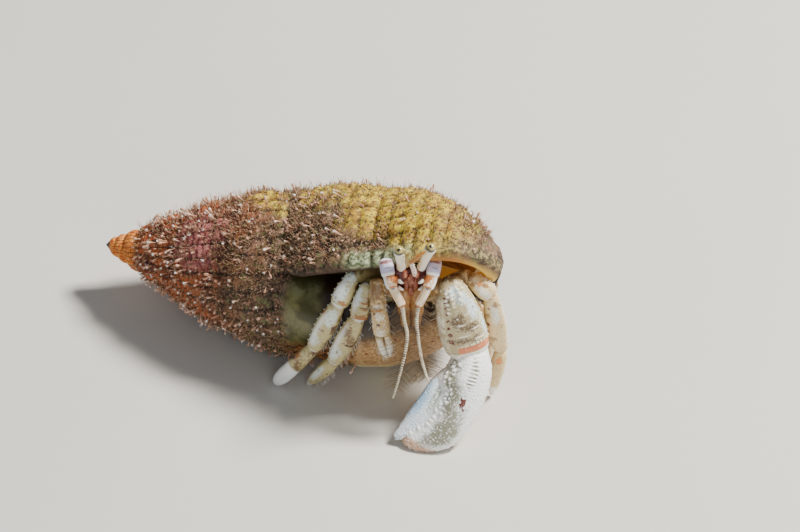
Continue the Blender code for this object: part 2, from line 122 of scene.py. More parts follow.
class Value:
    """A socket that a material reads at every point of a surface. Sums on it add nodes to its tree."""

    def __init__(self, socket):
        self.socket = socket
        self.tree = socket.id_data

    def sum(self, operation, first, second):
        """One sum on two values, either of which can be a plain number."""
        return wire(self.tree, "ShaderNodeMath", {0: first, 1: second}, 0, operation=operation)

    def __add__(self, other):
        return self.sum("ADD", self, other)

    def __mul__(self, other):
        return self.sum("MULTIPLY", self, other)

    def __sub__(self, other):
        return self.sum("SUBTRACT", self, other)

    def __rsub__(self, other):
        return self.sum("SUBTRACT", other, self)

    def curve(self, low, high):
        """0 below `low`, 1 above `high`, smooth between."""
        inputs = {"Value": self, "From Min": low, "From Max": high}
        return wire(self.tree, "ShaderNodeMapRange", inputs, 0, interpolation_type="SMOOTHSTEP")

    def blend(self, below, above):
        """A colour between two, by this value."""
        return wire(self.tree, "ShaderNodeMix", {0: self, 6: below, 7: above}, 2, data_type="RGBA")


def feed(node, inputs):
    """Give each input of a node a plain value, or the value it reads."""
    for name, value in inputs.items():
        socket = node.inputs[name]
        if isinstance(value, Value):
            node.id_data.links.new(value.socket, socket)
        else:
            socket.default_value = value + (1,) if socket.type == "RGBA" else value


def wire(tree, kind, inputs, output=None, **settings):
    """Add a node, set it, feed it, and return it, or the value of one of its outputs."""
    node = tree.nodes.new(kind)
    for name, value in settings.items():
        setattr(node, name, value)
    feed(node, inputs)
    return node if output is None else Value(node.outputs[output])


def measured(tree, name):
    """A number that the mesh carries at every point."""
    return wire(tree, "ShaderNodeAttribute", {}, "Fac", attribute_name=name)


def textured(tree, kind, output, scale, **inputs):
    """A texture over the object, its scale in cells per millimetre."""
    place = wire(tree, "ShaderNodeTexCoord", {}, "Object")
    return wire(tree, kind, {"Vector": place, "Scale": scale / MM, **inputs}, output)


def noise(tree, scale, detail=3.0, rough=0.55):
    """Fractal noise, about 0.5."""
    return textured(tree, "ShaderNodeTexNoise", "Fac", scale, Detail=detail, Roughness=rough)


def cells(tree, scale):
    """The distance to the nearest of many scattered points."""
    return textured(tree, "ShaderNodeTexVoronoi", "Distance", scale)


def bump(tree, height, depth):
    """Directions tilted by a height, its full depth given in millimetres."""
    return wire(tree, "ShaderNodeBump", {"Height": height, "Distance": depth * MM}, 0)


def new_group(name, inputs, outputs):
    """An empty node group with named sockets, the values it is given, and its output node."""
    group = bpy.data.node_groups.new(name, "ShaderNodeTree")
    for title, value in inputs.items():
        kind = "NodeSocketColor" if isinstance(value, tuple) else "NodeSocketFloat"
        socket = group.interface.new_socket(title, in_out="INPUT", socket_type=kind)
        socket.default_value = value + (1,) if isinstance(value, tuple) else value
    for title, kind in outputs.items():
        group.interface.new_socket(title, in_out="OUTPUT", socket_type=kind)
    given = group.nodes.new("NodeGroupInput")
    return group, {title: Value(given.outputs[title]) for title in inputs}, group.nodes.new("NodeGroupOutput")


def new_material(name):
    """An empty material, its tree and its surface node."""
    material = bpy.data.materials.new(name)
    material.use_nodes = True
    return material, material.node_tree, material.node_tree.nodes["Principled BSDF"]


# %% [markdown]
# The crab's cuticle is cream, washed with a darker shade, ringed at the joints and dotted with pigment cells.
# One group holds that recipe. Each material only brings its own colours.

# %% The cuticle group
TITLES = ("Base", "Shade", "Wash", "Ring", "Spot", "Tip")


def cuticle_group():
    """Colour and bump height of crab cuticle, from the shade, wash, ring, spot and tip values on the mesh."""
    inputs = dict.fromkeys(TITLES, (0.5, 0.5, 0.5)) | {"Freckles": 0.5, "Grains": 0.0, "Broken": 1.0}
    outputs = {"Color": "NodeSocketColor", "Height": "NodeSocketFloat"}
    group, given, made = new_group("Crab cuticle", inputs, outputs)
    uneven = (noise(group, 1.1, 4) + noise(group, 6.0, 2, 0.7) - 1.0) * 1.7 * given["Broken"]
    dots = (1.0 - cells(group, 5.0).curve(0.22, 0.42)) * given["Grains"]

    def edged(mark, low, high, strength=1.0):
        """A mark whose edge is broken up by the clouds and flecks of pigment."""
        return (measured(group, mark) + uneven).curve(low, high) * strength

    colour = edged("wash", 0.30, 0.75, 0.9).blend(given["Base"], given["Wash"])
    colour = (edged("shade", 0.32, 0.72, 0.92) * (1.0 - dots)).blend(colour, given["Shade"])
    freckles = noise(group, 14.0, 2, 0.6).curve(0.58, 0.68) * given["Freckles"]
    colour = freckles.blend(colour, given["Shade"])
    colour = edged("ring", 0.35, 0.70, 0.92).blend(colour, given["Ring"])
    colour = edged("spot", 0.45, 0.60).blend(colour, given["Spot"])
    colour = measured(group, "tip").curve(0.1, 0.8).blend(colour, given["Tip"])
    feed(made, {"Color": colour, "Height": noise(group, 9.0, 3, 0.6) + dots * 1.2})
    return group


CUTICLE = cuticle_group()


def cuticle(name, colours, freckles, grains, broken):
    """A crab material: the shared recipe in six colours, on a slightly translucent, moist surface."""
    material, tree, surface = new_material(name)
    inputs = dict(zip(TITLES, colours)) | {"Freckles": freckles, "Grains": grains, "Broken": broken}
    look = wire(tree, "ShaderNodeGroup", inputs, node_tree=CUTICLE)
    feed(surface, {
        "Base Color": Value(look.outputs["Color"]), "Normal": bump(tree, Value(look.outputs["Height"]), 0.03),
        "Roughness": 0.33, "Coat Weight": 0.3, "Coat Roughness": 0.15, "Subsurface Weight": 0.10,
        "Subsurface Radius": (0.0006, 0.0004, 0.00025), "Subsurface Scale": 1.0,
    })
    return material


# %% [markdown]
# ## Surfaces as arrays
# Each surface is a grid: one parameter runs along the piece and one runs round it.
# A surface is kept as arrays until it becomes a Blender mesh, so it can be reshaped in one line.

# %% Grids and noise


def grid_faces(rows, columns, closed):
    """Corner numbers of the squares of a grid; a closed grid joins its last column to its first."""
    across = np.arange(columns if closed else columns - 1)
    start = (np.arange(rows - 1)[:, None] * columns + across).ravel()
    after = (np.arange(rows - 1)[:, None] * columns + (across + 1) % columns).ravel()
    return np.stack([start, after, after + columns, start + columns], 1)


def lattice(points, cell, seed=0):
    """Smooth noise from −1 to 1: a hashed number at each corner of a cubic lattice, blended by 3t² − 2t³."""
    place = np.asarray(points, float) / cell
    corner = np.floor(place).astype(np.int64)
    near = place - corner
    near = near * near * (3 - 2 * near)
    total = 0.0
    for step in np.ndindex(2, 2, 2):
        x, y, z = (corner[..., k] + step[k] for k in range(3))
        code = (x * 73856093) ^ (y * 19349663) ^ (z * 83492791) ^ (seed * 40503 + 977)
        code = ((code ^ (code >> 13)) * 1274126177) & 0x7FFFFFFF
        value = ((code ^ (code >> 15)) & 0xFFFF) / 32767.5 - 1
        share = [near[..., k] if step[k] else 1 - near[..., k] for k in range(3)]
        total = total + value * share[0] * share[1] * share[2]
    return total


def ripples(points, cell, octaves=3, seed=0):
    """Lattice noise at several scales, each half the size and half the height of the last."""
    return sum(lattice(points, cell / 2**k, seed + k) * 0.5**k for k in range(octaves))


def ramp(value, low, high):
    """0 below `low`, 1 above `high`, and 3t² − 2t³ between them."""
    t = np.clip((value - low) / (high - low), 0, 1)
    return t * t * (3 - 2 * t)


def hump(value, middle, width):
    """exp(−((value − middle)/width)²): 1 at the middle, fading on both sides."""
    return np.exp(-(((value - middle) / width) ** 2))


def through(values, share):
    """A Catmull-Rom curve through the values, read at shares from 0 to 1."""
    values = np.asarray(values, float)
    flat = values.ndim == 1
    values = values[:, None] if flat else values
    ends = np.concatenate([2 * values[:1] - values[1:2], values, 2 * values[-1:] - values[-2:-1]])
    place = np.clip(share, 0, 1) * (len(values) - 1)
    start = np.minimum(place.astype(int), len(values) - 2)
    t = (place - start)[:, None]
    a, b, c, d = (ends[start + k] for k in range(4))
    found = 0.5 * (2 * b + (c - a) * t + (2 * a - 5 * b + 4 * c - d) * t**2 + (3 * b - a - 3 * c + d) * t**3)
    return found[:, 0] if flat else found


def vertex_normals(points, quads, tris=None):
    """The outward direction at each point: the sum of its faces' own directions."""
    total = np.zeros_like(points)
    for faces in (quads,) if tris is None else (quads, tris):
        corner = [points[faces[:, k]] for k in range(faces.shape[1])]
        way = np.cross(corner[1] - corner[0], corner[-1] - corner[0])
        if len(corner) == 4:
            way += np.cross(corner[3] - corner[2], corner[1] - corner[2])
        for k in range(len(corner)):
            np.add.at(total, faces[:, k], way)
    return unit(total)


# %% [markdown]
# ## Lofted pieces
# A leg joint, a claw or an eyestalk is a loft: rings carried along a path, with rounded ends.
# The rings are superellipses, a little squarer than an ellipse, as pinched cuticle is.

# %% Lofts


class Surface:
    """A mesh in the making: points, squares, triangles, directions out, marks on its points, and a UV map."""

    def __init__(self, points, quads, tris, normals, marks, uv=None):
        self.points, self.quads, self.tris = points, quads, tris
        self.normals, self.marks, self.uv = normals, marks, uv

    def lift(self, height):
        """Move each point outwards by a height in millimetres."""
        self.points = self.points + self.normals * (height * MM)[:, None]

    def raise_mark(self, mark, value):
        """Raise a mark to a value where it is lower."""
        self.marks[mark] = np.maximum(self.marks[mark], value)


def ring_shares(rings, first, last, cap=7):
    """Shares along a loft, crowded into a quarter circle at each end, and the size of the ring at each."""
    quarter = np.linspace(0, math.pi / 2, cap + 1)[1:]
    middle = np.linspace(first, 1 - last, rings + 2)[1:-1]
    shares = [first * (1 - np.cos(quarter)), middle, 1 - last * (1 - np.cos(quarter[::-1]))]
    sizes = [np.sin(quarter), np.ones(rings), np.sin(quarter[::-1])]
    return np.concatenate(shares), np.concatenate(sizes)


def tube(rings, ends, shares, angle):
    """Rings of points as one surface, closed by a fan to a point at each end, with its faces outwards."""
    rows, sides = rings.shape[:2]
    points = np.concatenate([rings.reshape(-1, 3), np.array(ends)])
    column = np.arange(sides)
    after = (column + 1) % sides
    tail = (rows - 1) * sides
    head_fan = np.stack([np.full(sides, rows * sides), after, column], 1)
    tail_fan = np.stack([np.full(sides, rows * sides + 1), tail + column, tail + after], 1)
    quads, tris = grid_faces(rows, sides, True), np.concatenate([head_fan, tail_fan])
    normals = vertex_normals(points, quads, tris)
    if np.einsum("rsi,rsi->", normals[:-2].reshape(rings.shape), rings - rings.mean(1)[:, None]) < 0:
        quads, tris, normals = quads[:, ::-1], tris[:, ::-1], -normals
    marks = {"along": np.append(np.repeat(shares, sides), [0.0, 1.0])}
    marks["around"] = np.append(np.tile(angle, rows), [0.0, 0.0])
    return Surface(points, quads, tris, normals, marks)


def loft(centre, side, up, width, depth, shares, power=2.3, sides=36, ends=None):
    """Rings centre + side·width/2·cos + up·depth/2·sin, squared off by the power, closed at each end."""
    angle = np.arange(sides) * TAU / sides
    cos, sin = (np.sign(f) * np.abs(f) ** (2 / power) for f in (np.cos(angle), np.sin(angle)))
    rings = centre[:, None] + side[:, None] * (width[:, None] * cos / 2)[..., None]
    rings = rings + up[:, None] * (depth[:, None] * sin / 2)[..., None]
    return tube(rings, (centre[0], centre[-1]) if ends is None else ends, shares, angle)


def sweep(path, widths, depths, facing, rings=36, sides=36, first=0.16, last=0.16, power=2.3, cap=7):
    """A loft along a smooth path; its depth lies towards `facing` and its width across that."""
    shares, sizes = ring_shares(rings, first, last, cap)
    fine = np.linspace(0, 1, 200)
    heading = unit(np.gradient(through(path, fine), axis=0))
    heading = np.stack([np.interp(shares, fine, heading[:, k]) for k in range(3)], 1)
    side = unit(np.cross(heading, facing))
    up = np.cross(side, heading)
    width, depth = (through(np.array(size, float) * MM, shares) * sizes for size in (widths, depths))
    ends = through(path, np.array([0.0, 1.0]))
    return loft(through(path, shares), side, up, width, depth, shares, power, sides, ends)


def knobs(surface, centres, radius, height, mark):
    """Raise a rounded knob at each centre, height·(1 − distance²/radius²)², and note it in a mark."""
    lift = np.zeros(len(surface.points))
    radius, height = np.broadcast_to(radius, len(centres)), np.broadcast_to(height, len(centres))
    for centre, reach, rise in zip(centres, radius, height):
        gap = ((surface.points - centre) ** 2).sum(1) / reach**2
        lift = np.maximum(lift, rise * np.clip(1 - gap, 0, 1) ** 2)
    surface.points = surface.points + surface.normals * lift[:, None]
    surface.marks[mark] = np.clip(surface.marks[mark] + lift / height.max(), 0, 1)


def on_surface(surface, along, around):
    """The surface's own points nearest to each pair of shares along and angles round."""
    marks = surface.marks
    turn = (marks["around"][None] - np.asarray(around)[:, None] + math.pi) % TAU - math.pi
    away = (marks["along"][None] - np.asarray(along)[:, None]) ** 2 + (turn / 6) ** 2
    return np.argmin(away, 1)


def joined(*surfaces):
    """Several surfaces as one, with every mark that any of them has."""
    start = np.cumsum([0] + [len(s.points) for s in surfaces])
    quads = np.concatenate([each.quads + first for each, first in zip(surfaces, start)])
    tris = np.concatenate([each.tris + first for each, first in zip(surfaces, start)])
    marks = {}
    for name in sorted(set().union(*(s.marks for s in surfaces))):
        values = [np.broadcast_to(each.marks.get(name, 0.0), len(each.points)) for each in surfaces]
        marks[name] = np.concatenate(values)
    points, normals = (np.concatenate([getattr(s, kind) for s in surfaces]) for kind in ("points", "normals"))
    return Surface(points, quads, tris, normals, marks)


# %% From arrays to pieces


def add_piece(name, surface, material, slot, *nodes):
    """Make a surface a mesh that rides on the crab's body and stands for the CAD nodes named."""
    mesh = bpy.data.meshes.new(name)
    points, quads, tris = surface.points, surface.quads, surface.tris
    mesh.vertices.add(len(points))
    mesh.vertices.foreach_set("co", points.astype(np.float32).ravel())
    corners = np.concatenate([quads.ravel(), tris.ravel()])
    mesh.loops.add(len(corners))
    mesh.loops.foreach_set("vertex_index", corners.astype(np.int32))
    sizes = np.concatenate([np.full(len(quads), 4), np.full(len(tris), 3)])
    mesh.polygons.add(len(sizes))
    mesh.polygons.foreach_set("loop_start", (np.cumsum(sizes) - sizes).astype(np.int32))
    mesh.update(calc_edges=True)
    mesh.polygons.foreach_set("use_smooth", np.ones(len(sizes), bool))
    for title, values in surface.marks.items():
        values = np.broadcast_to(values, len(points)).astype(np.float32)
        mesh.attributes.new(title, "FLOAT", "POINT").data.foreach_set("value", values)
    if surface.uv is not None:
        places = surface.uv[corners].astype(np.float32)
        mesh.uv_layers.new(name="OFBake").data.foreach_set("uv", places.ravel())
    mesh.validate()
    mesh.materials.append(material)
    obj = bpy.data.objects.new(name, mesh)
    bpy.context.scene.collection.objects.link(obj)
    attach(obj, "root")
    if nodes:
        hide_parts(*nodes)
    print(f"{name}: {2 * len(quads) + len(tris)} triangles")


# %% [markdown]
# ## The whelk shell
# A snail's shell is a tube that grows as it winds, so every turn is the last one made larger by one factor.
# The outside is one grid: the turn runs from the apex to the lip, and the share runs from seam to seam.
# Past a share of 1 the last whorl goes on over the base, down to the end of the columella.

# %% The shell's form
SHELL_APEX = mm(-14.36, 4.84, 4.06)
AXIS = unit([28.0, -9.75, 3.1])
LIP_ROLL = math.radians(44)
GROWTH = 1.45
TURNS = 7.5
SUTURE_ALONG = 16.4 * MM
SUTURE_REACH = math.hypot(16.4, 4.2) * MM
SUTURE_ANGLE = math.atan2(4.2, 16.4)
BASE_ALONG = 31.0 * MM
WHORL_BULGE = 0.050
WALL = 0.70 * MM
LIP_CALLUS = 0.30 * MM
MOUTH_TURNS = 0.55
SHELL_TOP = unit(np.array([0, 0, 1]) - AXIS[2] * AXIS)
LIP_SIDE = math.cos(LIP_ROLL) * SHELL_TOP + math.sin(LIP_ROLL) * np.cross(AXIS, SHELL_TOP)
GROWTH_SIDE = np.cross(AXIS, LIP_SIDE)
CONE_APEX = SHELL_APEX - AXIS * 0.7 * MM


def swell(share, age):
    """How far a whorl stands out between its seams, in radians from the apex."""
    kept = 0.06 * (1 - np.exp(-np.clip(age, 0, None) / 0.08))
    return WHORL_BULGE * np.sin(math.pi * share * (1 - kept)) ** 0.7


def lip_rise(turn):
    """0 over most of the shell and 1 at the lip."""
    return ramp(turn, -0.2, 0)


def profile(turn, share, age):
    """Along the axis and out from it, for a share from 0 to 1 over the band and 1 to 2 over the base."""
    band = np.clip(share, 0, 1)
    reach = SUTURE_REACH * GROWTH ** (turn + band)
    angle = SUTURE_ANGLE + swell(band, age)
    down = np.clip(share - 1, 0, 1)
    rise = lip_rise(turn)
    hollow = 2.1 - 1.55 * np.exp(-np.clip(age, 0, None) / 0.12) + 3.0 * rise
    seam_angle = SUTURE_ANGLE + swell(np.ones_like(down), age)
    seam = SUTURE_REACH * GROWTH ** (turn + 1) * np.cos(seam_angle)
    end = BASE_ALONG * (1 - 0.25 * (1 - GROWTH**turn)) + 1.0 * MM * rise
    along = seam + (end - seam) * down
    base_angle = seam_angle * (1 - (0.88 - 0.36 * rise) * down**hollow)
    on_base = share > 1
    along = np.where(on_base, along, reach * np.cos(angle))
    return along, np.where(on_base, along * np.tan(base_angle), reach * np.sin(angle))


def shell_place(turn, along, out):
    """Places in space of points along and out from the axis, at a turn. The lip flares and leans."""
    out = out * (1.08 + 0.22 * (1 - np.tanh((along / MM - 14) / 4)))
    seam = SUTURE_REACH * GROWTH**turn * math.cos(SUTURE_ANGLE)
    out = out * (1 + 0.06 * np.clip((along - seam) / (3 * MM), 0, 1) * lip_rise(turn))
    angle = TAU * turn - 0.3 * (along / MM - 21.5) / 10
    spoke = np.cos(angle)[..., None] * LIP_SIDE + np.sin(angle)[..., None] * GROWTH_SIDE
    return CONE_APEX + along[..., None] * AXIS + out[..., None] * spoke


def mouth_ring(turn, inset, circle):
    """One section of the hollow whorl at angles round it: outer wall where sin > 0, columella where sin < 0."""
    share = np.linspace(0, 2, 120)
    outer = profile(np.full(120, turn), share, np.full(120, 1.0 + turn))
    inner = profile(np.full(60, turn - 1.0), np.linspace(1.0001, 2, 60), np.zeros(60))
    start = SUTURE_ALONG * GROWTH**turn + 0.9 * MM + inset
    end = outer[0][-1] - 1.0 * MM - inset
    along = start + (end - start) * (1 - np.cos(circle)) / 2
    high = np.interp(along, *outer) - WALL - inset
    low = np.interp(along, *inner) + LIP_CALLUS + inset
    half = np.maximum(high - low, 0.1 * MM) / 2
    bend = np.sin(circle)
    out = (high + low) / 2 + half * np.sign(bend) * np.abs(bend) ** 0.6
    return shell_place(np.full(len(circle), turn), along, out)


# %% [markdown]
# The netted pattern is made of ribs that cross spiral cords, so the shell looks built of small rounded
# blocks. Ribs follow lines of one turn and cords follow lines of one share, so both come straight from the
# grid. Beside the mouth the animal has laid a smooth glaze over the net: the callus.

# %% The net of ribs and cords
TURN_STEPS = 224
BAND_ROWS = 40
RIBS = 27
CORDS = 8


def block(place):
    """A flat-topped hump between narrow grooves, once for every whole number: 1 − |2·part − 1|³."""
    return 1 - np.abs(2 * (place % 1) - 1) ** 3


def shell_zones(points, normals, turn, share, age):
    """Where each crust and colour of the old, overgrown shell lies, from 0 to 1."""
    drift = ripples(points, 2.6 * MM, 3, 33)
    x, z = points[:, 0] / MM, points[:, 2] / MM
    along = (points - CONE_APEX) @ AXIS / MM
    sunlit = normals @ unit([0, 0.34, 0.94]) + 0.16 * drift
    sunlit = sunlit + 0.28 * ramp(along + 0.5 * drift, 22.5, 26.5)
    ochre = ramp(sunlit, 0.76, 0.94) * ramp(along + 1.5 * drift, 11.5, 13.5)
    ochre = ochre * (1 - 0.5 * ramp(along + drift, 27, 29)) * ramp(z, 9, 10.5)
    low = (1 - ramp(z + 1.1 * drift, 3.4, 5.0)) * ramp(along, 15, 18) * (1 - ramp(x, 3, 4.5))
    pink = 1 - ramp(np.linalg.norm(points - mm(-7.4, 0, 8.5), axis=1) / MM + 0.8 * drift, 1.2, 2.9)
    callus = ramp(share, 1.0 - 0.95 * age, 1.10 - 0.95 * age) * (1 - ramp(age, 0.150, 0.19))
    top = np.interp(x, (1.2, 2.9), (9.0, 10.9)) + 0.4 * drift
    callus = np.where(turn < -1, 0.0, callus) * (1 - ramp(z, top - 0.3, top + 0.3))
    green = ramp(share, 0.50, 0.75) * (1 - ramp(share, 1.25, 1.5)) * ramp(turn, -0.026, -0.012)
    green = green * ramp(x, 2.6, 3.8) * (1 - 0.5 * ramp(x, 8.5, 10))
    hidden = 1 - ramp(points[:, 1] / MM + drift, -4.5, -3.0)
    bowl = hidden * (turn > -1.2) * (turn < -0.25) * (1 - ramp(z, 7.5, 8.5))
    bowl = bowl * ramp(x + 0.5 * drift, 3.4, 4.2)
    return {
        "ochre": ochre,
        "low": low,
        "pink": pink,
        "apex": 1 - ramp(along + 0.5 * drift, 3.2, 4.3),
        "green": green,
        "rust": 1 - ramp(along + 1.6 * drift, 9, 15),
        "callus": callus,
        "bowl": bowl * (1 - callus),
        "worn": ramp(along + 0.8 * drift, 27.2, 28.6) * ramp(turn + 0.02 * drift, -0.05, -0.02),
        "high": z,
        "share": share,
        "turn": turn,
    }


def shell_relief(points, zones):
    """Height of the net and its crust over the smooth shell. The net stands clear where the crust is thin."""
    turn, share, callus = zones["turn"], zones["share"], zones["callus"]
    size = GROWTH ** np.clip(turn, -TURNS, 0)
    wobble = 0.10 * lattice(points, 1.6 * MM, 4)
    rib, cord = block(turn * RIBS + wobble), block(share * CORDS + wobble)
    on_base = ramp(share, 1.15, 1.6)
    net = (rib * (1 - on_base) + on_base) ** 0.8 * (0.22 + 0.78 * cord**0.8)
    net = net * (1 - zones["green"]) + zones["green"] * block(share * 11 + wobble)
    edge = np.where(turn < -1, np.minimum(share, 1 - share), share)
    free = ramp(edge, 0.0, 0.06)
    clear = np.clip(zones["ochre"] + zones["apex"] + zones["green"] + zones["low"], 0, 1)
    callus = np.maximum(callus, 0.8 * zones["bowl"])
    height = 0.36 * size * net * free * (1 - callus) * (0.45 + 0.55 * clear)
    crust = ramp(turn, -5.4, -4.2) * (1 - callus) * (1 - 0.6 * clear)
    lumps = 0.12 * ripples(points, 0.9 * MM, 2, 21) + 0.09 * np.abs(ripples(points, 0.38 * MM, 2, 5))
    filled = hump(edge, 0, 0.15) * (1 - ramp(turn, -0.25, -0.10)) * ramp(turn, -4.5, -2.5)
    height = height + 0.80 * size * filled * (1 - callus)
    height = height + crust * lumps * np.where(edge < 0.02, 0.4, 1) + 0.30 * callus
    zones["net"] = net * free
    return height * MM


# %% The whole shell as one surface
NOTCH_POINTS = 10
LIP_RINGS = 8
HOLLOW_RINGS = 33
LIP_DEPTH = 0.3  # how far down the hollow the lip's rings reach, as a mark from 0 to 1


def shell_grid():
    """Every turn's band and the last one's base, sharing the points at their seams."""
    first = round((TURNS - 1) * TURN_STEPS)
    turn = (np.arange(first + TURN_STEPS + 1) - first) / TURN_STEPS - 1
    seam = np.arange(len(turn))
    turns, shares = [turn], [0 * turn]

    def new_points(at, share):
        """Numbers for a grid of new points, with a row for each turn and a column for each share."""
        start = sum(len(each) for each in turns)
        grid = np.meshgrid(at, share, indexing="ij")
        turns.append(grid[0].ravel())
        shares.append(grid[1].ravel())
        return start + np.arange(grid[0].size).reshape(grid[0].shape)

    spire = np.empty((first + 1, BAND_ROWS + 1), int)
    spire[:, 0], spire[:, -1] = seam[: first + 1], seam[: first + 1] + TURN_STEPS
    spire[:, 1:-1] = new_points(turn[: first + 1], np.linspace(0, 1, BAND_ROWS + 1)[1:-1])
    last = np.empty((TURN_STEPS + 1, 2 * BAND_ROWS + 1), int)
    last[:, 0] = seam[first:]
    last[0, : BAND_ROWS + 1] = spire[-1]
    last[0, BAND_ROWS + 1 :] = new_points([-1.0], np.linspace(1, 2, BAND_ROWS + 1)[1:])[0]
    last[1:, 1:] = new_points(turn[first + 1 :], np.linspace(0, 2, 2 * BAND_ROWS + 1)[1:])
    turn, share = np.concatenate(turns), np.concatenate(shares)
    return shell_place(turn, *profile(turn, share, turn + 1)), turn, share, spire, last


def net_squares(ids):
    """The squares of a grid of point numbers."""
    return np.stack([ids[:-1, :-1], ids[:-1, 1:], ids[1:, 1:], ids[1:, :-1]], -1).reshape(-1, 4)


def fan(rim, tip):
    """Triangles from a rim to one point."""
    return np.stack([rim[:-1], rim[1:], np.full(len(rim) - 1, tip)], 1)


def lip_and_hollow(edge, outer_count):
    """Rings from the lip's edge, rolled outwards, and down the hollow, and the edge's shares."""
    start = SUTURE_ALONG + 0.9 * MM
    end = profile(np.array([0.0]), np.array([2.0]), np.array([1.0]))[0][0] - 1.0 * MM
    reach = np.clip(((edge - CONE_APEX) @ AXIS - start) / (end - start), 0, 1)
    part = np.arccos(1 - 2 * reach)
    order = np.linspace(0, 1, len(edge))
    circle = np.where(np.arange(len(edge)) < outer_count, part, TAU - part)
    circle = np.maximum.accumulate(np.clip(0.85 * circle + 0.15 * TAU * order, 0, TAU - 0.02))
    mouth = mouth_ring(0.0, 0.0, circle)
    forward = unit(np.cross(AXIS, edge - CONE_APEX))
    roll = (ramp(order, 0.02, 0.10) * (1 - ramp(order, 0.60, 0.70)))[:, None] * 0.30 * MM
    rings = []
    for step in np.linspace(0, 1, LIP_RINGS + 1)[1:]:
        rings.append(edge * (1 - step) + mouth * step + forward * roll * math.sin(math.pi * step) ** 0.8)
    rings += [mouth_ring(turn, 0.0, circle) for turn in np.linspace(0, -MOUTH_TURNS, HOLLOW_RINGS + 1)[1:]]
    return rings, order


def build_shell():
    """The shell with its relief, lip and hollow, and the marks and unwrap that its coats are laid by."""
    points, turn, share, spire, last = shell_grid()
    quads = np.concatenate([net_squares(spire), net_squares(last)])
    normals = vertex_normals(points, quads)
    if normals[last[100, 40]] @ (points[last[100, 40]] - CONE_APEX - AXIS * 20 * MM) < 0:
        quads, normals = quads[:, ::-1], -normals
    marks = shell_zones(points, normals, turn, share, turn + 1)
    points = points + normals * shell_relief(points, marks)[:, None]

    # The lip's edge runs down the last rib, across the notch, and back up the columella to the seam.
    outer, inner = last[-1], last[0, ::-1][: BAND_ROWS + 1]
    across = np.linspace(0, 1, NOTCH_POINTS + 2)[1:-1, None]
    notch = len(points) + np.arange(NOTCH_POINTS)
    apex, foot = notch[-1] + 1, notch[-1] + 2
    loop = np.concatenate([outer, notch, inner])
    points = np.concatenate([
        points, points[outer[-1]] * (1 - across) + points[inner[0]] * across,
        [SHELL_APEX, CONE_APEX + AXIS * (BASE_ALONG - 0.8 * MM)],
    ])
    apex_rim = np.concatenate([spire[: TURN_STEPS + 1, 0], spire[0, ::-1]])[::-1]
    foot_rim = np.concatenate([last[:, -1], notch, last[:1, -1]])
    tris = np.concatenate([fan(apex_rim, apex), fan(foot_rim, foot)])
    tris = tris[tris[:, 0] != tris[:, 1]]

    rings, order = lip_and_hollow(points[loop], len(outer))
    ids = len(points) + np.arange(len(rings) * len(loop)).reshape(len(rings), len(loop))
    grid = np.concatenate([loop[None], ids])
    grid = np.concatenate([grid, grid[:, :1]], 1)
    points = np.concatenate([points, *rings, [rings[-1].mean(0)]])
    points[:, 2] = np.maximum(points[:, 2], 0)
    tris = np.concatenate([tris, fan(grid[-1, ::-1], len(points) - 1)])
    quads = np.concatenate([quads, net_squares(grid)[:, ::-1]])

    # The square at the seam, where the loop meets itself, has only three corners.
    same = quads == np.roll(quads, -1, 1)
    pinched = same.any(1)
    tris = np.concatenate([tris, quads[pinched][~same[pinched]].reshape(-1, 3)])
    quads = quads[~pinched]

    extra = np.zeros(len(points) - len(turn))
    marks = {name: np.append(values, extra) for name, values in marks.items()}
    marks["lining"], marks["lip"] = np.zeros(len(points)), np.zeros(len(points))
    lip, hollow = np.linspace(0, 1, LIP_RINGS + 1)[1:], np.linspace(0, 1, HOLLOW_RINGS + 1)[1:]
    marks["lining"][ids] = np.append(LIP_DEPTH * lip, LIP_DEPTH + (1 - LIP_DEPTH) * hollow)[:, None]
    marks["lining"][-1] = 1
    marks["lip"][grid[:, :-1]] = order
    for name in ("net", "ochre", "green", "callus", "bowl"):
        marks[name][ids[:LIP_RINGS]] = marks[name][loop] * (1 - lip)[:, None]
    surface = Surface(points, quads, tris, vertex_normals(points, quads, tris), marks)
    surface.unwrap = np.zeros((len(points), 2))
    surface.unwrap[: len(turn)] = np.stack([(turn + TURNS) / TURNS, share / 2], 1)
    return surface


shell = build_shell()
print("shell points:", len(shell.points))
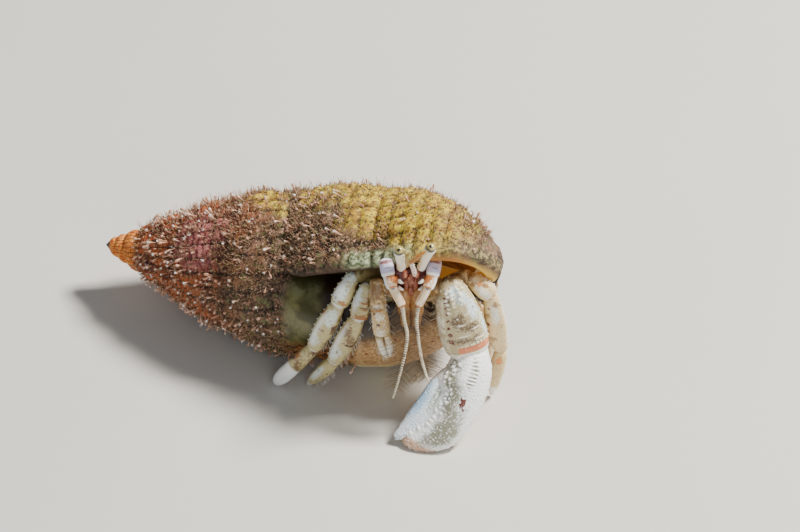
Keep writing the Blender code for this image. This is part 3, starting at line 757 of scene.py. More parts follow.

# %% [markdown]
# The shell's colours are those of its crusts: orange at the bare apex, red-brown and pink up the spire,
# yellow-brown on the sunlit top, and green at the lip, with painted shade in the grooves of the net. The glaze
# is olive with a painted highlight at its upper corner, and the hollow is orange at the lip, with painted
# shade inside and a painted glow behind the lip.

# %% Shell material


def shell_material():
    """Crust colours chosen by the marks, with painted shade in the grooves of the net, glossy on the glaze."""
    material, tree, surface = new_material("whelk_shell")
    cloud, grain, moss = noise(tree, 0.6, 5, 0.62), noise(tree, 4.5, 4, 0.65), noise(tree, 1.9, 3, 0.6)
    mottle, fine = cloud.curve(0.40, 0.62), grain.curve(0.38, 0.62)
    brown = mottle.blend((0.040, 0.020, 0.011), (0.20, 0.115, 0.060))
    brown = grain.curve(0.50, 0.64).blend(brown, (0.36, 0.20, 0.135))
    brown = moss.curve(0.54, 0.66).blend(brown, (0.14, 0.15, 0.055))
    rust = mottle.blend((0.10, 0.016, 0.006), (0.46, 0.10, 0.020))
    rust = grain.curve(0.52, 0.68).blend(rust, (0.55, 0.24, 0.12))
    colour = measured(tree, "rust").blend(brown, rust)
    # Each crust: the mark that says where it lies, how thick, its two tones, and the noise that mixes them.
    crusts = (
        ("pink", 0.9, (0.22, 0.035, 0.045), (0.58, 0.22, 0.20), fine),
        ("ochre", grain.curve(0.38, 0.52), (0.34, 0.17, 0.010), (0.72, 0.52, 0.035), moss.curve(0.35, 0.62)),
        ("low", 0.8, (0.20, 0.055, 0.010), (0.66, 0.26, 0.04), fine),
        ("green", 0.95, (0.10, 0.14, 0.05), (0.50, 0.55, 0.34), fine),
        ("worn", 0.5, (0.07, 0.05, 0.03), (0.38, 0.31, 0.10), grain.curve(0.44, 0.60)),
        ("apex", 1.0, (0.62, 0.12, 0.010), (0.95, 0.38, 0.07), fine),
    )
    for mark, thick, dark, light, tone in crusts:
        colour = (measured(tree, mark) * thick).blend(colour, tone.blend(dark, light))
    # Painted shade: a dark copy of each colour fills the grooves of the net.
    dark = wire(tree, "ShaderNodeHueSaturation", {"Saturation": 1.25, "Value": 0.16, "Color": colour}, 0)
    colour = (measured(tree, "net") + grain * 0.4).curve(0.25, 0.90).blend(dark, colour)

    # The glaze: olive below, a blue-grey gleam at its upper corner, brown-black in the shade of the mouth.
    place = wire(tree, "ShaderNodeSeparateXYZ", {0: wire(tree, "ShaderNodeTexCoord", {}, "Object")})
    across, height = Value(place.outputs["X"]), Value(place.outputs["Z"])
    high, callus = measured(tree, "high"), measured(tree, "callus")
    gleam = (high + cloud * 3.0).curve(9.2, 11.2) * grain.curve(0.2, 0.6)
    glaze = gleam.blend(mottle.blend((0.050, 0.045, 0.010), (0.15, 0.14, 0.050)), (0.19, 0.24, 0.21))
    glaze = across.curve(1.1 * MM, 2.0 * MM).blend(glaze, (0.035, 0.016, 0.008))
    colour = callus.blend(colour, glaze)
    tan = grain.curve(0.40, 0.66).blend((0.36, 0.19, 0.070), (0.62, 0.40, 0.19))
    tan = (1.0 - high.curve(1.6, 2.8)).blend(tan, (0.80, 0.70, 0.36))
    tan = (1.0 - cells(tree, 1.6).curve(0.12, 0.20)).blend(tan, (0.20, 0.02, 0.02))
    colour = measured(tree, "bowl").blend(colour, tan)

    # The lip and the hollow: brown to yellow along the edge, orange behind it. Painted shade makes the start of
    # the edge and the throat near-black under the lip, the far side dark, and the hollow darker deep down.
    deep, along = measured(tree, "lining"), measured(tree, "lip")
    behind = deep.curve(0.1, 0.3)
    far_side = along.curve(0.62, 0.70) * (1.0 - across.curve(6 * MM, 9 * MM))
    edge = cloud.curve(0.42, 0.56).blend((0.24, 0.085, 0.012), (0.42, 0.17, 0.03))
    # Painted shade: near-black at the start of the edge, under the lip.
    edge = along.curve(0.30, 0.42).blend((0.05, 0.022, 0.008), edge)
    edge = along.curve(0.50, 0.58).blend(edge, (0.74, 0.48, 0.09))
    # Painted shade: the throat is near-black under the start of the lip, and dark on the far side of the
    # hollow.
    throat = along.curve(0.41, 0.52).blend((0.045, 0.018, 0.006), (0.60, 0.25, 0.035))
    throat = far_side.blend(throat, (0.045, 0.022, 0.008))
    inside = deep.curve(0.13, 0.24).blend(far_side.blend(edge, (0.10, 0.075, 0.025)), throat)
    # Painted shade: darker deep down the hollow.
    inside = deep.curve(0.60, 0.95).blend(inside, (0.20, 0.06, 0.015))
    inside = ((1.0 - height.curve(6 * MM, 9 * MM)) * behind).blend(inside, tan)
    colour = deep.curve(0.02, 0.14).blend(colour, inside)
    smooth = callus.sum("MAXIMUM", callus, deep)
    relief = (grain * 0.7 + moss * 0.4) * (1.05 - smooth.curve(0.0, 0.5))
    feed(surface, {
        "Base Color": colour,
        "Normal": bump(tree, relief, 0.16),
        "Roughness": wire(tree, "ShaderNodeMapRange", {"Value": smooth, "To Min": 0.70, "To Max": 0.30}, 0),
        # Painted glow: emission in the lip's own colour stands for light through the thin shell.
        "Emission Color": colour,  # some light comes through the thin lip
        "Emission Strength": behind * along.curve(0.42, 0.52) * (1.0 - far_side) * 0.30,
    })
    return material


add_piece("whelk_shell", shell, shell_material(), "whelk_shell", "snail_shell")

# %% [markdown]
# ### What grows on the shell
# Tiny animals, hydroids, cover an old shell that a hermit crab wears: pink columns with a white, tentacled
# head. Between them grow a short brown turf and longer red-brown hairs. Each growth is a thin solid strand:
# rings carried from a root on the shell, all strands of a kind as one mesh.

# %% Strands
ANY_WAY = (0.31, 0.52, 0.80)  # a direction that no strand follows, to turn its rings by
UNWRAP_RADIUS = 0.0015  # of one strand in the unwrap


def scatter(surface, weight, count, seed):
    """Random places on a surface, more where weight is larger: places, directions out, unwrap places."""
    rng = np.random.default_rng(seed)
    corner = surface.points[surface.quads]
    area = np.linalg.norm(np.cross(corner[:, 1] - corner[:, 0], corner[:, 3] - corner[:, 0]), axis=1)
    chance = area * weight[surface.quads].mean(1)
    picked = rng.choice(len(corner), count, p=chance / chance.sum())
    u, v = rng.random((2, count))
    mix = np.stack([(1 - u) * (1 - v), u * (1 - v), u * v, (1 - u) * v], 1)[..., None]
    out = unit((surface.normals[surface.quads[picked]] * mix).sum(1))
    return (corner[picked] * mix).sum(1), out, surface.unwrap[surface.quads[picked, 0]], rng


def strands(root, way, bend, length, radius, shape, sides, unwrap):
    """Solid strands: rings of radius·shape along root + length·(way·t + bend·t²), closed at both ends."""
    count, rows = len(root), len(shape)
    radius = np.broadcast_to(radius, count)
    t = np.linspace(0, 1, rows)[None, :, None]
    centre = root[:, None] + length[:, None, None] * (way[:, None] * t + bend[:, None] * t**2)
    heading = unit(way[:, None] + 2 * bend[:, None] * t)
    side = unit(np.cross(heading, ANY_WAY))
    up = np.cross(side, heading)
    angle = (np.arange(sides) * TAU / sides)[:, None]
    ring = side[:, :, None] * np.cos(angle) + up[:, :, None] * np.sin(angle)
    wide = (radius[:, None] * np.asarray(shape))[..., None, None]
    points = (centre[:, :, None] + ring * wide).reshape(count, rows * sides, 3)
    points = np.concatenate([points, centre[:, -1:] + heading[:, -1:] * radius[:, None, None] * 0.5], 1)
    tip, cap = rows * sides, (rows - 1) * sides
    fan = [(cap + (k + 1) % sides, cap + k, tip) for k in range(sides)]
    fan += [(0, k, k + 1) for k in range(1, sides - 1)]
    start = (np.arange(count) * (tip + 1))[:, None, None]
    quads = (grid_faces(rows, sides, True)[:, ::-1] + start).reshape(-1, 4)
    tris = (np.array(fan) + start).reshape(-1, 3)
    patch = np.concatenate([np.tile(np.hstack([np.cos(angle), np.sin(angle)]), (rows, 1)), [[0, 0]]])
    places = (unwrap[:, None] + patch * UNWRAP_RADIUS).reshape(-1, 2)
    far = np.append(np.repeat(np.linspace(0, 1, rows), sides), 1.0)
    points = points.reshape(-1, 3)
    return Surface(points, quads, tris, 0 * points, {"far": np.tile(far, count)}, places)


def strand_material(name, near, other, end, end_from=0.7, rough=0.6, glow=0.0):
    """Two tones from strand to strand, and a third at the free end."""
    material, tree, surface = new_material(name)
    tone = measured(tree, "tone").blend(near, other)
    tone = noise(tree, 3.0, 2).curve(0.40, 0.65).blend(tone, near)
    white = measured(tree, "far").curve(end_from, end_from + 0.12) * measured(tree, "pale")
    feed(surface, {
        "Base Color": white.blend(tone, end), "Roughness": rough, "Subsurface Weight": glow,
        "Subsurface Radius": (0.0004, 0.0003, 0.0002), "Subsurface Scale": 1.0,
    })
    return material


def add_strands(name, coat, tone, pale, material, slot):
    """Make a coat of strands a piece, with one tone and one paleness for each strand."""
    each = len(coat.points) // len(tone)
    coat.marks["tone"], coat.marks["pale"] = np.repeat(tone, each), np.repeat(pale, each)
    coat.points[:, 2] = np.maximum(coat.points[:, 2], 0.01 * MM)
    add_piece(name, coat, material, slot)


def setae(name, surface, along, around, length, thick, lean, colour, slot, droop=0.0, spread=0.2, seed=0):
    """Bristles on a loft at shares along and angles round, leaning towards its far end, as one piece."""
    rng = np.random.default_rng(seed)
    at = on_surface(surface, along, around)
    count = len(at)
    forward = unit(surface.points[-1] - surface.points[-2])
    way = unit(surface.normals[at] + lean * forward + spread * rng.normal(0, 0.5, (count, 3)))
    bend = np.array([0, 0, -droop]) + 0.12 * rng.normal(0, 0.5, (count, 3))
    unwrap = np.stack([np.asarray(around) / TAU, np.asarray(along)], 1)
    size = length * rng.uniform(0.75, 1.15, count) * MM
    coat = strands(surface.points[at], way, bend, size, thick / 2 * MM, (1, 0.85, 0.65, 0.3), 3, unwrap)
    darker, lighter = tuple(0.6 * c for c in colour), tuple(min(1, 1.5 * c) for c in colour)
    look = strand_material(name, colour, darker, lighter, 0.5)
    add_strands(name, coat, rng.random(count), rng.random(count), look, slot)


# %% Turf, hairs and hydroids


def random_ways(rng, count, spread):
    """A random direction for each strand, its parts spread about nought."""
    return spread * rng.normal(0, 0.5, (count, 3))


def grow_on_shell():
    """Short turf, long hairs and hydroids, each where that kind grows."""
    marks = shell.marks
    bare = np.clip(
        marks["callus"] * 1.3 + marks["lining"] * 30 + marks["apex"] * 1.2 + marks["bowl"] * 1.3, 0, 1,
    )
    free = np.where((marks["share"] > 1.9) | (marks["turn"] > -0.006), 0, 1 - bare)
    clear = np.clip(marks["ochre"] + marks["green"] + 0.8 * marks["low"], 0, 1)
    rim, spire = marks["worn"], ramp(-marks["turn"], 1.2, 2.2)

    count = 19000
    weight = free * (1 - 0.8 * clear) * (1 - 0.4 * rim) * (1 - 0.5 * spire)
    place, out, unwrap, rng = scatter(shell, weight, count, 1)
    way = unit(out + random_ways(rng, count, 1.0))
    length = rng.uniform(0.12, 0.36, count) * MM
    bend = random_ways(rng, count, 0.3)
    turf = strands(place - out * 0.03 * MM, way, bend, length, 0.026 * MM, (1, 0.75), 3, unwrap)
    look = strand_material("turf", (0.13, 0.08, 0.035), (0.34, 0.27, 0.09), (0.62, 0.40, 0.30), 0.5)
    add_strands("shell_turf", turf, rng.random(count), rng.random(count) ** 2, look, "whelk_shell")

    count = 1900
    height = shell.normals @ unit([-0.3, 0.3, 0.9])
    weight = free * (0.10 + ramp(height, 0.1, 0.8)) * (1 - 0.75 * clear) * (1 - rim)
    place, out, unwrap, rng = scatter(shell, weight, count, 2)
    way = unit(out + (0, 0, 0.25) + random_ways(rng, count, 0.35))
    length = rng.uniform(0.30, 0.85, count) * MM
    bend = random_ways(rng, count, 0.2)
    fuzz = strands(place, way, bend, length, 0.018 * MM, (1, 0.9, 0.7, 0.4), 3, unwrap)
    look = strand_material("red_hairs", (0.34, 0.12, 0.06), (0.42, 0.26, 0.15), (0.62, 0.42, 0.32), 0.6)
    add_strands("shell_hairs", fuzz, rng.random(count), rng.random(count), look, "whelk_shell")

    count = 1500
    low = 1 - ramp(shell.points[:, 2] / MM, 5, 10)
    weight = free * (1 - 0.8 * clear) * (0.45 + 0.8 * spire * (0.3 + low)) * (1 - 0.7 * rim)
    weight = weight * (0.35 + 0.65 * ramp(marks["turn"], -5.0, -3.2))
    place, out, unwrap, rng = scatter(shell, weight, count, 3)
    way = unit(out + random_ways(rng, count, 0.55) + (-0.1, -0.1, -0.25))
    tall = (0.20 + 0.62 * rng.random(count) ** 2.2) * MM
    radius = (0.036 + 0.030 * rng.random(count) ** 2) * MM
    bend = random_ways(rng, count, 0.25)
    root = place - out * 0.05 * MM
    columns = strands(root, way, bend, tall, radius, (1.1, 0.85, 0.8, 0.9, 1.7, 1.9, 1.2), 6, unwrap)
    look = strand_material(
        "hydroids", (0.50, 0.26, 0.16), (0.76, 0.50, 0.38), (1.0, 0.98, 0.97), 0.86, 0.35, 0.1,
    )
    white = (rng.random(count) < 0.34).astype(float)
    add_strands("hydroid_columns", columns, rng.random(count), white, look, "whelk_shell")

    # Six short arms stand round the head of each column.
    head = root + tall[:, None] * (way * 0.86 + bend * 0.74)
    axis = unit(way + 1.7 * bend)
    side = unit(np.cross(axis, ANY_WAY))
    up = np.cross(axis, side)
    angle = (np.arange(6) * TAU / 6)[None, :, None] + rng.random((count, 1, 1)) * 0.8
    spoke = side[:, None] * np.cos(angle) + up[:, None] * np.sin(angle)
    root = (head[:, None] + spoke * radius[:, None, None] * 0.9).reshape(-1, 3)
    aim = unit(spoke + axis[:, None] * 0.8).reshape(-1, 3)
    reach = np.repeat(rng.uniform(0.06, 0.13, count), 6) * MM
    curl = np.repeat(axis, 6, 0) * 0.3
    arms = strands(root, aim, curl, reach, 0.014 * MM, (1, 0.6), 3, np.repeat(unwrap, 6, 0))
    look = strand_material(
        "hydroid_arms", (0.42, 0.22, 0.16), (0.60, 0.40, 0.30), (0.97, 0.93, 0.90), 0.3, 0.5,
    )
    shades, tips = np.repeat(rng.random(count), 6), np.repeat(white * 0.8, 6)
    add_strands("hydroid_arms", arms, shades, tips, look, "whelk_shell")


grow_on_shell()

# %% [markdown]
# ## Limbs
# A crab's limb is a row of hard tubes with soft joints between them. Each tube is a little swollen, and its
# rounded ends run into its neighbours, so a crease shows at every joint, as on the animal. `paint` writes
# where rings, spots, shade and pale tips lie, in shares along the tube and angles round it.

# %% Colours of the cuticle
# Six colours for each material, then its freckles, grains and broken edges, all in hundredths.
CUTICLES = """
leg          52 44 21    15 7.5 2.2    72 84 80   34 11 1.5  6.5 1.4 0.8  94 95 96   45   0   100
leg_upper    30 22 8     8 4.5 1.5     22 25 7.5  40 14 3    10 2 1       90 85 78   50   0   100
left_leg     80 62 32    34 18 5.5     93 92 86   80 28 5    16 4 2       95 92 88   100  0   100
claw_palm    92 94 93    22 20.5 12.5  60 30 14   82 30 12   13 2 1.2     99 99 98   15   70  35
claw_finger  74 84 92    32 36 27      40 62 88   70 38 22   30 12 8      99 99 99   10   70  30
claw_carpus  56 47 26    12 6.5 2.5    72 86 88   80 20 6    13 1 1       97 90 76   60   60  80
small_claw   66 46 20    20 9.5 2.8    86 80 66   52 16 1.5  7 0.8 0.8    95 90 80   60   0   100
eyestalk     96 89 74    36 18 5       88 66 42   50 20 6    30 9 6       100 98 95  0    0   50
feeler       86 64 40    30 10 7.5     56 54 80   52 14 1.5  10 17 27     97 95 96   0    0   50
antennule    45 30 9     34 12 9       86 70 66   50 17 2    20 5 5       95 90 85   0    0   40
whip         90 78 58    6 3 2         85 70 52   30 20 12   20 10 6      97 95 90   0    0   100
face         30 6.5 2.6  11 0.8 0.7    66 26 13   66 20 3    7 0.5 0.5    98 92 86   50   0   100
mouthparts   68 32 9     26 9 2.5      82 50 22   62 20 4    12 0.6 0.6   95 84 66   30   0   100
soft_skin    42 17 5     13 4.5 1.8    50 30 13   60 30 12   20 5 3       90 70 50   20   0   100
"""


def read_looks(table):
    """The crab's materials by name, from the rows of a table."""
    looks = {}
    for row in table.strip().splitlines():
        name, *words = row.split()
        numbers = [float(word) / 100 for word in words]
        looks[name] = cuticle(name, [tuple(numbers[k : k + 3]) for k in range(0, 18, 3)], *numbers[18:])
    return looks


LOOKS = read_looks(CUTICLES)
FACING = np.array([0, -0.8, 0.6])  # the side of the limbs that is up and forward


def patches(surface, places):
    """1 at each place, fading as exp(−distance²): a place is (share, angle, length, breadth)."""
    along, around = surface.marks["along"], surface.marks["around"]
    found = 0 * along
    for share, angle, long, wide in places:
        turn = (around - angle + math.pi) % TAU - math.pi
        found = np.maximum(found, hump(along, share, long) * hump(turn, 0, wide))
    return found


def paint(
    surface, rings=(), stains=(), spots=(), browns=(), washes=(), shade=0.2, wash=0.0, tip=None, seed=1
):
    """Mark a loft: rings (share, width), patches of ring, spot, shade and wash colour, and a pale tip."""
    marks = surface.marks
    along = marks["along"]
    wave = 0.02 * np.sin(3 * marks["around"] + seed)
    bands = sum((hump(along + wave, at, wide) for at, wide in rings), 0 * along)
    marks["ring"] = np.maximum(bands, patches(surface, stains))
    marks["spot"] = patches(surface, spots)
    joint = 0.7 * hump(np.minimum(along, 1 - along), 0, 0.035) * (along > 0)
    marks["shade"] = np.maximum(shade, patches(surface, browns)) + joint
    marks["wash"] = np.maximum(wash, patches(surface, washes))
    marks["tip"] = 0 * along if tip is None else ramp(along, tip, tip + 0.12)
    return surface


def dress(node, surface, look, slot, ending="_shell"):
    """Make a surface the piece that stands for one CAD node, with nothing of it below the floor."""
    surface.points[:, 2] = np.maximum(surface.points[:, 2], 0)
    add_piece(node + ending, surface, LOOKS[look], slot, node)


# %% [markdown]
# ### Walking legs
# Two pairs of legs show. They are flat and spined on the upper edge, and end in long claws that hold the
# sand.

# %% Walking legs
LEG_JOINTS = {
    "right_leg_1": [
        (6.3, -5.1, 9.9), (3.8, -6.35, 10.65), (2.7, -7.5, 8.9), (0.9, -7.1, 4.5), (-1.8, -6, 0.33),
    ],
    "right_leg_2": [
        (6.3, -6.4, 8.8), (4.75, -7.2, 10.4), (4.1, -8.1, 8.2), (2.3, -7.4, 3.5), (0.5, -6.1, 0.33),
    ],
    "left_leg_1": [
        (10.25, -6.35, 9.6), (11.85, -7.05, 11), (13.3, -7.6, 9.9), (14.1, -7.2, 4.4), (13.5, -7.2, 0.33),
    ],
    "left_leg_2": [(9.4, -5.9, 8.1), (11.1, -6.45, 8.9), (12.6, -6.6, 7), (13, -6, 2.3), (12.3, -7.3, 0.33)],
}
LEG_SIZES = {
    "merus": ((0.85, 1.3, 1.35, 1.05), (0.8, 1.1, 1.15, 0.95)),
    "carpus": ((0.85, 1.25, 1.42, 1.2), (0.8, 1.0, 1.1, 1.0)),
    "propodus": ((0.95, 1.35, 1.5, 1.3, 1.0), (0.85, 1.0, 1.02, 0.92, 0.85)),
    "dactyl": ((0.82, 1.08, 1.02, 0.82, 0.5), (0.75, 0.88, 0.82, 0.68, 0.45)),
}
# The pale washes on the legs lie mostly on the faces turned up and forward; they are partly pale cuticle and
# partly painted highlight.
LEG_PAINT = {
    ("right_leg_1", "merus"): dict(shade=0.3, wash=0.4),
    ("right_leg_1", "carpus"): dict(
        washes=[(0.2, 1.2, 0.25, 0.9), (0.62, 1.1, 0.3, 0.9)], stains=[(0.84, 2.0, 0.07, 0.6)],
        spots=[(0.36, 0.3, 0.06, 0.35)], browns=[(0.35, 2.7, 0.15, 0.5)],
    ),
    ("right_leg_1", "propodus"): dict(
        washes=[(0.25, 1.5, 0.2, 0.7), (0.75, 0.9, 0.22, 0.8)], stains=[(0.22, 0.35, 0.1, 0.35)], tip=None,
        spots=[(0.42, 2.3, 0.05, 0.25), (0.17, 0.5, 0.03, 0.2)],
        browns=[(0.45, 2.5, 0.12, 0.5), (0.52, 1.2, 0.04, 0.8)],
    ),
    ("right_leg_1", "dactyl"): dict(
        shade=0.45, spots=[(0.36, 0.5, 0.06, 0.5), (0.06, 2.4, 0.05, 0.3)], stains=[(0.3, 0.6, 0.12, 0.6)],
        tip=0.44,
    ),
    ("right_leg_2", "merus"): dict(shade=0.2, wash=0.9),
    ("right_leg_2", "carpus"): dict(
        washes=[(0.4, 0.8, 0.3, 0.7)], rings=[(0.9, 0.05)],
        browns=[(0.45, 2.3, 0.2, 0.35), (0.62, 1.9, 0.04, 0.6)],
        stains=[
            (0.84, 1.9, 0.06, 0.8), (0.35, 1.9, 0.03, 0.4), (0.5, 1.7, 0.03, 0.4), (0.66, 1.9, 0.03, 0.4),
        ],
    ),
    ("right_leg_2", "propodus"): dict(
        washes=[(0.74, 1.0, 0.16, 0.9)], stains=[(0.6, 2.6, 0.06, 0.2)], spots=[(0.5, 1.9, 0.02, 0.7)],
        browns=[(0.3, 1.4, 0.16, 0.8), (0.40, 1.9, 0.10, 0.6), (0.48, 2.6, 0.08, 0.4)],
    ),
    ("right_leg_2", "dactyl"): dict(
        shade=0.2, washes=[(0.5, 1.2, 0.3, 0.5)], spots=[(0.3, 2.2, 0.03, 0.2)], tip=0.8,
    ),
    ("left_leg_1", "merus"): dict(shade=0.5),
    ("left_leg_1", "carpus"): dict(
        stains=[(0.42, 1.7, 0.06, 0.22)], washes=[(0.7, 1.2, 0.3, 0.5), (0.5, 3.0, 0.5, 0.5)],
        browns=[(0.1, 1.5, 0.1, 1), (0.26, 1.1, 0.08, 0.3), (0.6, 1.9, 0.08, 0.2)],
    ),
    ("left_leg_1", "propodus"): dict(
        washes=[(0.3, 1.6, 0.2, 0.4), (0.5, 3.0, 0.6, 0.5)],
        spots=[(0.2, 1.0, 0.03, 0.2), (0.45, 0.8, 0.03, 0.2)],
        browns=[(0.3, 0.9, 0.05, 0.5), (0.5, 1.9, 0.06, 0.3), (0.7, 1.1, 0.05, 0.4), (0.15, 1.8, 0.05, 0.3)],
    ),
    ("left_leg_1", "dactyl"): dict(stains=[(0.2, 1.6, 0.07, 0.35)], tip=0.7),
    ("left_leg_2", "merus"): dict(shade=0.6),
    ("left_leg_2", "carpus"): dict(shade=0.4, rings=[(0.92, 0.06)]),
    ("left_leg_2", "propodus"): dict(shade=0.4, stains=[(0.2, 1.5, 0.1, 0.5), (0.75, 1.4, 0.08, 0.4)]),
    ("left_leg_2", "dactyl"): dict(shade=0.5, tip=0.75),
}
BLUNT_SIZES = ((0.85, 1.08, 1.12, 1.10, 0.90), (0.75, 0.88, 0.90, 0.86, 0.72))  # of a worn claw
OVERLAP = 0.20 * MM  # how far a segment's rounded end runs past its joint


def segment(start, end, widths, depths, bow=0.0, rings=30, sides=32, first=0.12, last=0.12):
    """One tube of a limb between two joints, running a little past both, bowed towards the facing side."""
    chord = unit(end - start)
    middle = (start + end) / 2 + FACING * bow * MM
    path = np.stack([start - chord * OVERLAP, middle, end + chord * OVERLAP])
    return sweep(path, widths, depths, FACING, rings, sides, first, last)


def spines(surface, along, around, height, thick=0.16, lean=0.5):
    """Small cones that stand on the surface and lean towards its far end, joined to it."""
    at = on_surface(surface, along, around)
    way = unit(surface.normals[at] + lean * unit(surface.points[-1] - surface.points[-2]))
    sizes = (thick, thick * 0.8, thick * 0.35)
    cones = []
    for place, aim in zip(surface.points[at], way):
        tall = aim * height * MM
        path = np.stack([place - aim * 0.10 * MM, place + tall * 0.5, place + tall])
        cones.append(sweep(path, sizes, sizes, (0.3, 0.5, 0.8), 3, 8, 0.1, 0.1, 2, 2))
        cones[-1].marks["tip"] = 0.25 + 0.5 * cones[-1].marks["along"]
    return joined(surface, *cones)


def add_legs():
    """Every walking leg, tube by tube. The right legs have white cuffs, a pale stripe of painted highlight and
    painted shade along one edge.
    """
    made = {}
    for number, (leg, joints) in enumerate(LEG_JOINTS.items()):
        joints = np.array(joints) * MM
        for k, (part, sizes) in enumerate(LEG_SIZES.items()):
            bow, last = (0.18, 0.32) if part == "dactyl" else (0.05, 0.12)
            if (number, part) == (0, "dactyl"):
                sizes, last = BLUNT_SIZES, 0.16
            surface = segment(joints[k], joints[k + 1], *sizes, bow, 44, 36, 0.12, last)
            surface.lift(ripples(surface.points, 0.5 * MM, 2, 50 + k) * 0.02)
            paint(surface, seed=7 * number + k, **LEG_PAINT[leg, part])
            if part in ("carpus", "propodus"):
                if number < 2:
                    along, around = surface.marks["along"], surface.marks["around"]
                    cuff = ramp(along, 0.91, 0.95) + 1 - ramp(along, 0.03, 0.08)
                    # Painted highlight: a pale stripe down the middle of each tube. Painted shade: a darker
                    # band along the edge at angle 2.7.
                    highlight_streak = hump(around, 0.9, 0.5) * np.sin(math.pi * along)
                    surface.marks["tip"] = np.maximum(0.60 * cuff, 0.55 * highlight_streak)
                    surface.raise_mark("shade", 0.55 * hump(around, 2.7, 0.5))
                count = 9 if part == "propodus" else 6
                edge = np.full(count, 0.2 if number < 2 else 2.9)
                surface = spines(surface, np.linspace(0.12, 0.95, count), edge, 0.09, 0.11)
            look = "left_leg" if number > 1 else "leg_upper" if part == "merus" else "leg"
            made[f"{leg}_{part}"] = surface
            dress(f"{leg}_{part}", surface, look, "leg_cuticle")
    return made


legs = add_legs()

# %% [markdown]
# ### The big left claw
# The palm and its fixed finger are one curved plate, and the moving finger closes against its inner edge.
# Rows of small beads run down them, and the wrist is rough with larger ones.

# %% Claw sections
WRIST = mm(12.04, -8.50, 5.35)
CLAW_LENGTHWISE = unit([-0.634, -0.467, -0.616])
CLAW_ACROSS = unit(np.cross([-0.147, -0.709, 0.689], CLAW_LENGTHWISE))
CLAW_FACE = np.cross(CLAW_LENGTHWISE, CLAW_ACROSS)
# Each section: millimetres along and aside, its turn in degrees, its half width and its thickness.
PALM_SECTIONS = np.array([
    (-0.30, -0.30, 48, 1.05, 1.6), (0.14, -0.06, 48, 1.30, 1.9), (1.05, 0.60, 32, 1.62, 2.4),
    (2.13, 0.94, 22, 1.84, 2.6), (2.92, 1.58, 17, 1.44, 2.4), (4.12, 1.86, 9, 1.36, 2.1),
    (5.53, 1.99, -2, 1.24, 1.7), (6.69, 1.58, -9, 1.00, 1.3), (7.60, 0.86, -13, 0.62, 0.9),
    (7.95, 0.05, -40, 0.25, 0.5),
])
FINGER_SECTIONS = np.array([
    (1.70, -0.42, 17, 0.42, 1.3), (2.60, -0.34, 17, 0.58, 1.6), (3.40, -0.36, 17, 0.62, 1.7),
    (4.42, -0.20, 8, 0.66, 1.6), (5.67, -0.08, 13, 0.72, 1.4), (6.69, -0.12, 14, 0.58, 1.1),
    (7.55, -0.26, 12, 0.36, 0.8), (8.08, -0.42, 0, 0.20, 0.5),
])


def claw_loft(sections, rings, sides, first, last, power=2.2):
    """A loft through sections set across a curved line in the claw's own plane."""
    shares, sizes = ring_shares(rings, first, last, 9)
    along, aside, heading, half, thick = (through(sections[:, k], shares) for k in range(5))
    centre = WRIST + np.outer(along, CLAW_LENGTHWISE) * MM + np.outer(aside, CLAW_ACROSS) * MM
    turn = np.radians(heading)
    side = np.outer(np.cos(turn), CLAW_ACROSS) - np.outer(np.sin(turn), CLAW_LENGTHWISE)
    up = np.broadcast_to(CLAW_FACE, side.shape)
    return loft(centre, side, up, 2 * half * MM * sizes, thick * MM * sizes, shares, power, sides)


def bead_rows(surface, rows, radius, height, seed):
    """Rows of beads: each row is (first share, last share, angle at each end, count)."""
    rng = np.random.default_rng(seed)
    along = np.concatenate([np.linspace(a, b, n) for a, b, _, _, n in rows])
    around = np.concatenate([np.linspace(c, d, n) for _, _, c, d, n in rows])
    along, around = along + rng.normal(0, 0.006, len(along)), around + rng.normal(0, 0.05, len(around))
    centres = surface.points[on_surface(surface, along, around)]
    size = rng.uniform(0.75, 1.25, len(centres)) * MM
    knobs(surface, centres, radius * size, height * size, "tip")


# %% The claw's palm and finger


